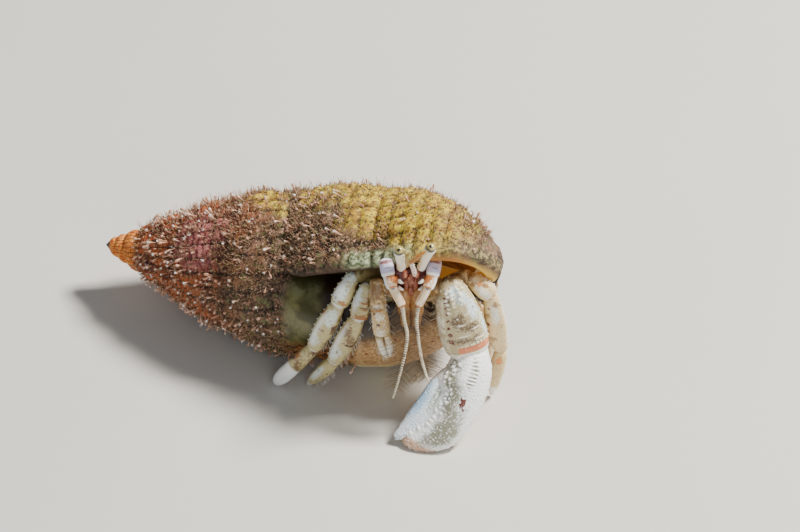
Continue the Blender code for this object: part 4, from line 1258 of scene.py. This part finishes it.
def add_claw():
    """The palm with its fixed finger, and the moving finger."""
    palm = claw_loft(PALM_SECTIONS, 150, 120, 0.06, 0.10)
    marks = palm.marks
    along, around = marks["along"], marks["around"]
    browns = [(0.42, 1.90, 0.28, 0.55), (0.68, 1.35, 0.24, 0.9), (0.22, 2.2, 0.14, 0.4)]
    paint(palm, seed=3, shade=0.0, browns=browns)
    marks["shade"] *= 0.85
    scribble = ramp(ripples(palm.points, 0.28 * MM, 2, 8), -0.20, 0.05)
    marks["spot"] = patches(palm, [(0.46, 1.42, 0.06, 0.20), (0.53, 1.30, 0.04, 0.17)]) * scribble
    marks["ring"] = 1.4 * patches(palm, [(0.075, 1.75, 0.03, 0.35)])
    marks["wash"] = ramp(along + 0.05 * np.cos(around), 0.72, 0.95) + 0.6 * ramp(-np.sin(around), 0, 0.6)
    bead_rows(palm, [(0.12, 0.93, a, a + 0.08, 34) for a in np.linspace(0.25, 2.9, 13)], 0.10, 0.022, 4)
    marks["tip"] *= 0.55
    palm.lift(0.30 * hump(around, 2.75, 0.35) * ramp(along, 0.25, 0.4) * (1 - ramp(along, 0.86, 0.95)))
    bead_rows(palm, [(0.08, 0.88, 2.10, 2.60, 24), (0.14, 0.60, 1.80, 2.20, 13)], 0.19, 0.10, 5)
    bead_rows(palm, [(0.16, 0.97, 0.05, 0.05, 46)], 0.14, 0.05, 7)
    ridge = hump(around, 1.55, 0.22) * hump(along, 0.24, 0.13)
    teeth = hump(around, 1.24, 0.20) * hump(along, 0.26, 0.12)
    comb = np.sin(TAU * along * 42)
    palm.lift(0.09 * ridge + 0.05 * teeth * comb)
    palm.raise_mark("tip", 0.8 * ridge)
    palm.raise_mark("shade", 1.3 * teeth * (comb < 0))
    dress("big_claw_palm", palm, "claw_palm", "claw_cuticle")

    finger = claw_loft(FINGER_SECTIONS, 90, 64, 0.08, 0.12, 2.9)
    paint(finger, shade=0.0, seed=4, browns=[(0.3, 1.0, 0.3, 0.5)], washes=[(0.45, 2.2, 0.25, 0.8)])
    finger.lift(0.16 * hump(finger.marks["around"], 0.4, 0.35))
    bead_rows(finger, [(0.12, 0.92, a, a, 30) for a in (0.4, 1.0, 1.6, 2.2, 2.8)], 0.11, 0.03, 6)
    dress("big_claw_finger", finger, "claw_finger", "claw_cuticle")


add_claw()

# %% The claw's arm


def add_claw_arm():
    """The big claw's merus and its broad, beaded wrist segment."""
    elbow, wrist = mm(10.4, -8.0, 11.6), WRIST + CLAW_LENGTHWISE * 0.14 * MM - CLAW_ACROSS * 0.06 * MM
    near, far = mm(8.95, -6.85, 9.2), elbow - mm(0.6, -0.2, 0.75)
    merus = segment(near, far, (0.9, 1.1, 1.05), (1.0, 1.2, 1.15), 0, 16, 28)
    dress("big_claw_merus", paint(merus, shade=0.5, seed=11), "left_leg", "claw_cuticle")
    middle = elbow * 0.62 + wrist * 0.38 + mm(0.05, -0.15, 0.1)
    path = np.stack([elbow + mm(-0.05, 0, 0.25), middle, wrist + mm(0.02, 0.05, -0.3)])
    widths, depths = (1.3, 1.9, 2.5, 3.0, 3.2, 2.7), (1.3, 1.7, 2.0, 2.2, 2.2, 1.8)
    carpus = sweep(path, widths, depths, FACING, 110, 96, 0.14, 0.10)
    marks = carpus.marks
    along, around = marks["along"], marks["around"]
    # The blue-white washes are partly pale cuticle and partly painted highlight.
    paint(
        carpus, shade=0.22, seed=12,
        spots=[(a, 0.86 + 0.1 * a, 0.022, 0.13) for a in (0.24, 0.31, 0.39, 0.46, 0.54, 0.61, 0.68, 0.75)],
        washes=[
            (0.30, 2.0, 0.12, 0.6), (0.46, 2.3, 0.14, 0.5), (0.16, 1.5, 0.07, 0.6), (0.66, 2.75, 0.16, 0.25),
        ],
        browns=[
            (0.54, 1.45, 0.09, 0.5), (0.64, 1.9, 0.06, 0.5), (0.75, 1.6, 0.04, 0.7), (0.30, 1.05, 0.09, 0.2),
        ],
    )
    arcs = [
        (0.60, 1.5, 0.010, 0.22), (0.66, 2.1, 0.010, 0.3), (0.71, 1.5, 0.010, 0.3), (0.76, 2.2, 0.012, 0.35),
    ]
    carpus.raise_mark("tip", patches(carpus, arcs + [(0.50, 1.9, 0.010, 0.2)]))
    bead_rows(carpus, [(0.12, 0.84, a, a + 0.1, 15) for a in np.linspace(0.4, 2.9, 6)], 0.12, 0.065, 13)
    rows = [(0.13, 0.44, 1.08, 1.05, 7), (0.16, 0.38, 1.40, 1.35, 5), (0.15, 0.3, 1.9, 1.8, 3)]
    bead_rows(carpus, rows, 0.20, 0.11, 14)
    marks["tip"] *= 0.8

    # A raised, mottled strip along the inner edge.
    strip = ramp(np.cos(around - 0.32), 0.86, 0.93) * ramp(along, 0.18, 0.3)
    mottle = ramp(ripples(carpus.points, 0.3 * MM, 1, 9), 0.1, 0.4)
    marks["shade"] = marks["shade"] * (1 - 0.8 * strip) + 0.5 * strip * mottle
    carpus.raise_mark("tip", strip * (0.42 + 0.45 * ripples(carpus.points, 0.35 * MM, 2, 3)))
    carpus.lift(0.22 * strip * np.sin(math.pi * along))

    # The orange band between a groove and a white collar, a knob on the collar, and spines over the groove.
    front = ramp(np.cos(around - 1.9), -0.2, 0.1)
    collar = ramp(along, 0.875, 0.885) * front
    band = ramp(along, 0.815, 0.825) * (1 - ramp(along, 0.868, 0.878)) * ramp(np.cos(around - 2.3), 0.3, 0.6)
    marks["ring"] = np.maximum(1.8 * band, patches(carpus, [(0.93, 1.1, 0.03, 0.25)]))
    carpus.raise_mark("tip", collar)
    marks["wash"] *= 1 - np.maximum(band, collar)
    carpus.lift(-0.05 * hump(along, 0.808, 0.012) * front)
    knobs(carpus, carpus.points[on_surface(carpus, [0.90], [0.95])], 0.42 * MM, 0.20 * MM, "tip")
    carpus = spines(carpus, np.full(19, 0.80), np.linspace(1.2, 2.9, 19), 0.13, 0.13, 0.8)
    dress("big_claw_carpus", carpus, "claw_carpus", "claw_cuticle")
    return carpus


carpus = add_claw_arm()

# %% [markdown]
# ### The small right claw
# It is less than half as long as the left one, and it hangs behind the feelers with its hairy finger tips
# together.

# %% The small claw


def add_small_claw():
    """Arm, wrist, palm and two fingers."""
    joints = [mm(5.4, -7.6, 11.2), mm(5.5, -8.3, 9.2), mm(5.75, -8.6, 7.2), mm(6.15, -8.6, 5.0)]
    merus = segment(mm(6.75, -7.6, 9.9), mm(5.8, -7.7, 10.6), (0.7, 0.8, 0.7), (0.7, 0.8, 0.7), 0, 12, 20)
    dress("small_claw_merus", paint(merus, shade=0.5, seed=20), "small_claw", "leg_cuticle")
    carpus = segment(joints[0], joints[1], (0.9, 1.1, 1.2, 1.1), (0.8, 1.0, 1.05, 1.0), 0.1, 30, 32)
    browns, washes = [(0.2, 1.5, 0.3, 1.2)], [(0.78, 1.5, 0.08, 0.9)]
    paint(carpus, shade=0.55, browns=browns, washes=washes, rings=[(0.97, 0.06)], seed=21)
    spined = spines(carpus, np.linspace(0.2, 0.9, 6), np.full(6, 2.6), 0.12, 0.12)
    dress("small_claw_carpus", spined, "small_claw", "leg_cuticle")
    palm = segment(joints[1], joints[2], (1.0, 1.2, 1.25, 1.15), (0.85, 1.0, 1.0, 0.9), 0.1, 34, 36)
    paint(
        palm, rings=[(0.04, 0.07)], spots=[(0.52, 1.35, 0.06, 0.30), (0.16, 0.9, 0.04, 0.2)], seed=22,
        washes=[(0.3, 1.5, 0.15, 0.5), (0.8, 1.5, 0.2, 0.7)], browns=[(0.5, 0.2, 0.3, 0.4)],
    )
    bead_rows(palm, [(0.15, 0.9, a, a, 9) for a in (0.6, 1.3, 2.0, 2.7)], 0.10, 0.03, 23)
    dress("small_claw_palm", palm, "small_claw", "leg_cuticle")
    aside = unit(np.cross(unit(joints[3] - joints[2]), FACING)) * MM
    lengthwise = (joints[2], (joints[2] + joints[3]) / 2, joints[3])
    made = {"small_claw_carpus": carpus, "small_claw_palm": palm}
    for name, side in (("small_claw_fixed_finger", -1), ("small_claw_finger", 1)):
        path = np.stack([place + aside * side * gap for place, gap in zip(lengthwise, (0.28, 0.29, 0.13))])
        finger = sweep(path, (0.52, 0.52, 0.45, 0.28), (0.85, 0.8, 0.6, 0.32), FACING, 30, 24, 0.1, 0.2)
        paint(finger, shade=0.1, washes=[(0.3, 1.5, 0.3, 1)], tip=0.4, seed=24 + side)
        dress(name, finger, "small_claw", "leg_cuticle")
        made[name] = finger
    return made


small_claw = add_small_claw()

# %% [markdown]
# ## Body
# The hard shield covers the back behind the eyes, and the chest below it carries the limbs.
# The soft abdomen winds up into the shell. Little of all this shows past the legs.

# %% Shield, chest and abdomen


def add_body():
    """The three parts of the body."""
    path = np.stack([mm(7.3, -3.4, 11.4), mm(7.5, -5.8, 11.62), mm(7.75, -8.25, 11.9)])
    widths, depths = (2.2, 3.3, 3.6, 3.4, 2.7), (1.2, 1.5, 1.4, 1.15, 1.3)
    shield = sweep(path, widths, depths, (0, 0, 1), 60, 60, 0.10, 0.08, 2.8)
    paint(shield, shade=0.3, seed=31, browns=[(0.9, 1.5, 0.2, 1.5)], washes=[(0.95, 1.57, 0.06, 0.35)])
    dress("shield", shield, "face", "crab_cuticle")
    path = np.stack([mm(7.4, -3.6, 10.0), mm(7.6, -5.5, 9.9), mm(7.75, -7.45, 9.8)])
    chest = sweep(path, (1.8, 2.2, 2.1, 1.7), (0.9, 1.2, 1.7, 1.9), (0, 0, 1), 40, 48, 0.12, 0.12, 2.6)
    dress("thorax", paint(chest, shade=0.5, seed=32), "face", "crab_cuticle")
    shares, circle = np.linspace(0, 1, 60), np.arange(64) * TAU / 64
    rings = []
    for share, turn in zip(shares, np.linspace(-0.12, -0.49, 60)):
        ring = mouth_ring(turn, (0.45 + 0.6 * (turn / MOUTH_TURNS) ** 2) * MM, circle)
        middle = ring.mean(0)
        fold = 1 - 0.05 * math.cos(TAU * 9 * share) ** 2
        close = math.sqrt(max(0.02, 1 - max(0, 1 - share / 0.06, (share - 0.9) / 0.1) ** 2))
        rings.append(middle + (ring - middle) * fold * close)
    abdomen = tube(np.array(rings), (rings[0].mean(0), rings[-1].mean(0)), shares, circle)
    dress("abdomen", paint(abdomen, shade=0.4, seed=33), "soft_skin", "soft_skin", "_skin")


add_body()

# %% [markdown]
# ## Head
# Two stout white eyestalks stand side by side, each with a dark, gold-green eye at its tip.
# The short feelers stand up between them, and the long feelers hang in front from jointed stems.

# %% Eyes
EYES = {
    "right": (mm(7.10, -8.0, 12.55), mm(6.98, -8.68, 14.5), 0.5),
    "left": (mm(8.42, -8.0, 12.55), mm(9.02, -8.68, 14.76), 1.0),
}
EYE_RADIUS = 0.36 * MM
EYE_LENGTH = 1.12  # how much longer than wide an eye is
EYE_ROWS = 32


def eye_material():
    """A wet gold-green cornea of fine facets, with a dark spot where the pigment lies deep, and a dark
    crescent.
    """
    material, tree, surface = new_material("eye")
    facets = cells(tree, 26)
    gold = noise(tree, 6.0, 3).blend((0.34, 0.26, 0.06), (0.85, 0.68, 0.22))
    gold = (facets * 0.5).blend(gold, (0.10, 0.10, 0.03))
    colour = measured(tree, "pupil").blend(gold, (0.006, 0.006, 0.008))
    colour = measured(tree, "cuff").blend(colour, (0.75, 0.62, 0.44))
    feed(surface, {
        "Base Color": colour, "Normal": bump(tree, facets, 0.006),
        "Roughness": 0.12, "Coat Weight": 1.0, "Coat Roughness": 0.03,
    })
    return material


def add_eyes():
    """Stalks that are widest at the base and under the eye, and the eyes themselves."""
    look = eye_material()
    for side, (base, tip, brown) in EYES.items():
        way = unit(tip - base)
        path = np.stack([base, (base + tip) / 2 + mm(0, -0.03, 0), tip + way * 0.33 * MM])
        widths = (0.70, 0.62, 0.58, 0.62, 0.72, 0.84)
        stalk = sweep(path, widths, widths, FACING, 44, 36, 0.1, 0.05, 2.0)
        paint(stalk, shade=0, seed=40, browns=[(0.92, 4.4, 0.3, 0.9 * brown)], washes=[(0.3, 2.4, 0.3, 0.8)])
        stalk.marks["shade"] += 0.8 * (1 - ramp(stalk.marks["along"], 0.03, 0.16))
        dress(f"eyestalk_{side}", stalk, "eyestalk", "eyestalk", "_skin")

        polar = np.linspace(0, math.pi, EYE_ROWS + 2)[1:-1]
        middle, half = tip + way * 0.30 * MM, way * EYE_RADIUS * EYE_LENGTH
        across = unit(np.cross(way, FACING))
        up = np.cross(across, way)
        size = 2 * EYE_RADIUS * np.sin(polar)
        sides, ups = np.tile(across, (EYE_ROWS, 1)), np.tile(up, (EYE_ROWS, 1))
        centre, shares = middle - half * np.cos(polar)[:, None], (1 - np.cos(polar)) / 2
        eye = loft(centre, sides, ups, size, size, shares, 2, 44, (middle - half, middle + half))
        aim = unit(eye.points - middle)
        along = aim @ way
        crescent = ramp(-np.abs(along - 0.24), -0.34, -0.22) * ramp(aim @ up, 0.0, 0.35)
        spot = ramp(aim @ unit(way * 0.9 + up * 0.35 - across * 0.12), 0.945, 0.968)
        eye.marks["pupil"] = np.maximum(spot, crescent)
        eye.marks["cuff"] = 1 - ramp(along, -0.42, -0.26)
        add_piece(f"eye_{side}_cornea", eye, look, "eye_cornea", f"eye_{side}")


add_eyes()

# %% Short feelers
ANTENNULES = {
    "right": [
        ((7.50, -8.45, 13.1), (7.50, -8.8, 13.5), (7.50, -9.0, 13.9)),
        ((7.50, -9.0, 13.8), (7.50, -9.2, 14.3), (7.46, -9.35, 14.8)),
        ((7.46, -9.35, 14.7), (7.38, -9.45, 15.1), (7.26, -9.55, 15.45)),
        ((7.46, -9.35, 14.7), (7.56, -9.5, 15.0), (7.62, -9.6, 15.35)),
    ],
    "left": [
        ((8.00, -9.0, 12.75), (7.98, -9.15, 13.2), (7.90, -9.25, 13.7)),
        ((7.90, -9.25, 13.65), (7.82, -9.35, 14.0), (7.75, -9.4, 14.3)),
        ((7.70, -9.4, 14.25), (8.2, -9.5, 14.85), (8.80, -9.55, 15.4)),
        ((7.75, -9.4, 14.2), (7.80, -9.5, 14.7), (7.82, -9.6, 15.1)),
    ],
}


def add_antennules():
    """Two stem joints, a thick upper branch and a thin lower one on each side, as one piece a side."""
    stem_dots = [(0.5, 1.57, 0.1, 0.4), (0.8, 1.57, 0.06, 0.3)]
    hair_places = np.linspace(0.1, 0.95, 40), np.linspace(0, 40, 40) % TAU
    for side, paths in ANTENNULES.items():
        # The right one is thinner, paler and less ringed.
        thin, wash, ringed = (0.7, 0.2, 0.45) if side == "right" else (1.0, 0.9, 1.0)
        stems = [(0.22 * thin, 0.36 * thin, 0.34 * thin), (0.32 * thin, 0.34 * thin, 0.26 * thin)]
        branches = [(0.24 * thin**2, 0.30 * thin**2, 0.08), (0.12, 0.10, 0.04)]
        parts = []
        for k, (path, widths) in enumerate(zip(paths, stems + branches)):
            stem = k < 2
            part = sweep(np.array(path) * MM, widths, widths, FACING, 24 if stem else 60, 20, 0.1, 0.1, 2)
            joints = [(0.02, 0.05), (0.97, 0.04)]
            paint(
                part, wash=wash if stem else 0.2, browns=stem_dots if stem else [], rings=joints, seed=44 + k,
            )
            if not stem:
                rings = 0.5 + 0.5 * np.sin(TAU * 11 * part.marks["along"])
                part.lift(0.014 * rings)
                part.marks["ring"] = ringed * (0.5 + 0.5 * rings)
                name, olive = f"antennule_{side}_{k}_hairs", (0.50, 0.48, 0.20)
                setae(name, part, *hair_places, 0.30, 0.022, 0.8, olive, "feeler", 0, 0.5, k)
            parts.append(part)
        dress(f"antennule_{side}", joined(*parts), "antennule", "feeler", "_skin")


add_antennules()

# %% Long feelers
ANTENNAE = {
    "right": (
        ((6.0, -7.7, 13.0), (6.2, -8.35, 12.3), (6.45, -8.9, 11.7), (7.12, -9.4, 10.5)),
        ((7.12, -9.4, 10.6), (7.3, -9.7, 9.3), (7.5, -10.1, 8.3),
         (7.3, -10.6, 6.8), (6.9, -11.0, 5.0), (6.5, -11.3, 3.5)),
    ),
    "left": (
        ((9.45, -7.7, 13.0), (9.25, -8.35, 12.3), (8.95, -8.95, 11.7), (8.28, -9.4, 10.5)),
        ((8.28, -9.4, 10.6), (8.15, -9.7, 9.2), (8.3, -10.2, 7.7),
         (8.5, -10.6, 6.5), (8.75, -10.9, 5.6), (9.0, -11.1, 4.8)),
    ),
}
STEM_SIZES = {
    "base": ((0.85, 1.0, 0.9), (0.8, 0.92, 0.8)),
    "elbow": ((0.74, 0.86, 0.72), (0.66, 0.76, 0.62)),
    "stem": ((0.58, 0.62, 0.60), (0.52, 0.56, 0.52)),
}
WHIP_SIZES = (0.27, 0.25, 0.22, 0.20, 0.17, 0.12)


def add_antennae():
    """Three stem joints and a ringed whip on each side."""
    whips = {}
    for side, (joints, whip) in ANTENNAE.items():
        joints = np.array(joints) * MM
        # Where the outer side of a stem lies, and the row of beads on its elbow.
        outer, row = (3.1, (0.15, 0.85, 2.3, 1.3, 7)) if side == "left" else (0.0, (0.3, 0.7, 0.9, 1.6, 4))
        elbow_stains = [(0.35, math.pi - outer, 0.5, 1.9), (0.9, 1.6, 0.07, 1.5), (0.2, 1.6, 0.1, 1)]
        looks = {
            "base": dict(wash=0.7, browns=[(0.21, 1.6, 0.10, 1.5)], spots=[(0.52, 1.6, 0.03, 0.5)]),
            "elbow": dict(shade=0.0, stains=elbow_stains),
            "stem": dict(
                shade=0.1, spots=[(0.13, 1.6, 0.09, 0.55)], rings=[(0.02, 0.04)],
                stains=[(0.95, 1.6, 0.06, 1.5)],
                browns=[(0.55, 1.1, 0.3, 0.10), (0.7, 2.3, 0.15, 0.15)],
            ),
        }
        for k, (part, sizes) in enumerate(STEM_SIZES.items()):
            surface = segment(joints[k], joints[k + 1], *sizes, 0, 26, 30, 0.16, 0.16)
            marks = paint(surface, seed=50 + k, **looks[part]).marks
            if part == "base":
                marks["tip"] = 0.9 * (ramp(marks["along"], 0.70, 0.82) + 1 - ramp(marks["along"], 0.05, 0.12))
            if part == "stem":
                marks["tip"] = 0.7 * patches(surface, [(0.45, 2.1, 0.3, 0.25), (0.8, 1.4, 0.1, 0.3)])
            if part == "elbow":
                marks["tip"] = 0.9 * ramp(np.cos(marks["around"] - outer), 0.35, 0.8)
                bead_rows(surface, [row], 0.09, 0.04, 9)
            dress(f"antenna_{part}_{side}", surface, "feeler", "feeler", "_skin")
        lash = sweep(np.array(whip) * MM, WHIP_SIZES, WHIP_SIZES, FACING, 400, 12, 0.02, 0.02, 2)
        rings = 0.5 + 0.5 * np.sin(TAU * 48 * lash.marks["along"])
        paint(lash, seed=60)
        lash.lift(0.018 * rings)
        lash.marks["shade"] = 1.0 - rings
        dress(f"antenna_whip_{side}", lash, "whip", "feeler", "_skin")
        whips[side] = lash
    return whips


whips = add_antennae()

# %% [markdown]
# The mouthparts hang below the head: two hairy jointed legs that sweep food up to the jaws.
# Small pale plates ring the mouth, and broader ones lie beside the long feelers.

# %% Mouthparts and plates
MIDLINE = 7.75
FACE_PLATES = (  # on the midline and beside it: place across, lower and upper end, width
    (7.75, 11.2, 12.4, 0.55), (7.45, 10.9, 12.0, 0.34), (8.05, 10.9, 12.0, 0.34), (7.75, 10.4, 11.3, 0.4),
)


def plate(places, widths, depths, rings, sides, end, **marks):
    """A small plate of the face along three places, painted."""
    surface = sweep(np.array(places) * MM, widths, depths, FACING, rings, sides, end, end)
    return paint(surface, **marks)


def add_mouth():
    """The outer mouthparts in three joints each, and the plates of the face."""
    made = {}
    for side, sign in (("right", -1), ("left", 1)):
        places = [(0.42, -7.8, 10.5), (0.46, -8.25, 9.7), (0.42, -8.5, 8.9), (0.34, -8.62, 8.05)]
        joints = [mm(MIDLINE + sign * x, y, z) for x, y, z in places]
        parts = []
        for k, size in enumerate((1.0, 0.94, 0.72)):
            widths, depths = (size * 0.9, size, size * 0.85), (size * 0.8, size * 0.9, size * 0.8)
            part = segment(joints[k], joints[k + 1], widths, depths, 0, 18, 26, 0.2, 0.2)
            dark = [(0.25, math.pi - 1.6 * sign, 0.12, 0.4)] if k == 1 else []
            paint(
                part, shade=0.3, rings=[(0.95, 0.06)], spots=dark, washes=[(0.5, 1.5, 0.3, 0.6)], seed=70 + k,
            )
            parts.append(part)
        made[side] = joined(*parts)
        dress(f"maxilliped_{side}", made[side], "mouthparts", "crab_cuticle", "_skin")

    plates = []
    for sign in (-1, 1):
        for z in (12.02, 11.42):
            x = MIDLINE + sign * 0.72
            places = [(x + 0.16 * sign, -8.62, z + 0.08), (x, -8.80, z), (x - 0.24 * sign, -8.82, z - 0.10)]
            plates.append(plate(places, (0.26, 0.24, 0.10), (0.22, 0.2, 0.10), 10, 14, 0.2, shade=0, seed=75))
            plates[-1].marks["tip"] = 0.4 + 0.6 * plates[-1].marks["along"]
    pale, orange = dict(washes=[(0.5, 1.6, 0.3, 0.6)]), dict(stains=[(0.5, 1.6, 0.5, 1.2)])
    for sign in (-1, 1):
        for x, z, look in ((0.42, 12.72, pale), (1.08, 12.2, orange)):
            aside = sign * x
            places = [
                (MIDLINE + aside, -8.30, z), (MIDLINE + aside * 0.95, -8.46, z - 0.3),
                (MIDLINE + aside * 0.9, -8.5, z - 0.62),
            ]
            sizes = (0.30, 0.38, 0.28), (0.2, 0.26, 0.2)
            plates.append(plate(places, *sizes, 16, 18, 0.25, shade=0.1, seed=78, **look))
    washes = [(0.3, 1.0, 0.10, 0.4), (0.55, 2.0, 0.08, 0.4), (0.75, 1.3, 0.06, 0.3)]
    for x, low, high, wide in FACE_PLATES:
        places = [(x, -8.22, high), (x, -8.42, (low + high) / 2), (x, -8.30, low)]
        sizes = (0.7 * wide, wide, 0.5 * wide), (0.3, 0.36, 0.3)
        plates.append(plate(places, *sizes, 24, 24, 0.25, shade=0.25, washes=washes, seed=int(low * 10)))
    add_piece("face_plates", joined(*plates), LOOKS["face"], "crab_cuticle")
    return made


mouthparts = add_mouth()

# %% [markdown]
# ## Bristles
# Fine bristles stand in combs along both edges of the long feelers, in fringes below the legs' broad joints,
# and in tufts at the tips of the small claw and on the mouthparts.

# %% Combs and fringes
FRINGED = ("right_leg_1_propodus", "right_leg_2_propodus", "right_leg_2_dactyl", "left_leg_1_propodus")


def tuft(name, surface, count, low, high, turn, seed, rng, length, lean, colour, slot, droop=0, spread=0.4):
    """Bristles at random shares from low to high and at random angles within a turn, as one piece."""
    along, around = rng.uniform(low, high, count), rng.uniform(*turn, count) % TAU
    setae(name, surface, along, around, length, 0.026, lean, colour, slot, droop, spread, seed)


def add_bristles():
    """Every comb, fringe and tuft on the crab itself."""
    for k, (side, whip) in enumerate(whips.items()):
        along = np.repeat(np.linspace(0.04, 0.9, 60), 2)
        around = np.tile([0.0, math.pi], 60)
        length = 1.9 * np.sin(math.pi * np.clip(along + 0.1, 0, 1)) ** 0.5
        brown = (0.20, 0.12, 0.06)
        setae(f"whip_comb_{side}", whip, along, around, length, 0.036, 0.55, brown, "feeler", 0.1, 0.15, k)
    for k, name in enumerate(FRINGED):
        along, edge = np.linspace(0.25, 0.98, 34), np.full(34, 3.3 if name.startswith("right") else 0.0)
        cream = (0.80, 0.74, 0.62)
        setae(
            f"{name}_fringe", legs[name], along, edge, 0.55, 0.026, 0.9, cream, "leg_cuticle", 0, 0.5, 9 + k,
        )
    whole = (0, TAU)
    for k, (name, surface) in enumerate(small_claw.items()):
        rng, pale = np.random.default_rng(k), (0.86, 0.80, 0.66)
        tuft(f"{name}_bristles", surface, 46, 0.3, 1.0, whole, 20 + k, rng, 0.42, 1.2, pale, "leg_cuticle")
    for k, (side, mouth) in enumerate(mouthparts.items()):
        rng, tan, name = np.random.default_rng(30 + k), (0.62, 0.42, 0.22), f"mouth_bristles_{side}"
        tuft(name, mouth, 90, 0, 1, whole, 31 + k, rng, 0.7, 0.8, tan, "crab_cuticle", 0.1, 0.5)
    rng, straw = np.random.default_rng(40), (0.80, 0.70, 0.50)
    tuft("wrist_bristles", carpus, 60, 0.2, 0.95, (5.4, 6.5), 41, rng, 0.5, 0.6, straw, "claw_cuticle")


add_bristles()

# %% Floor


def add_floor():
    """A pale, faintly mottled sheet that the crab stands on."""
    material, tree, surface = new_material("floor")
    tone = noise(tree, 0.02, 3).blend((0.62, 0.60, 0.56), (0.70, 0.68, 0.64))
    feed(surface, {"Base Color": tone, "Roughness": 0.9})
    mesh = bpy.data.meshes.new("floor")
    mesh.from_pydata([(-0.6, -0.6, 0), (0.6, -0.6, 0), (0.6, 0.9, 0), (-0.6, 0.9, 0)], [], [(0, 1, 2, 3)])
    mesh.materials.append(material)
    floor = bpy.data.objects.new("floor", mesh)
    bpy.context.scene.collection.objects.link(floor)


add_floor()
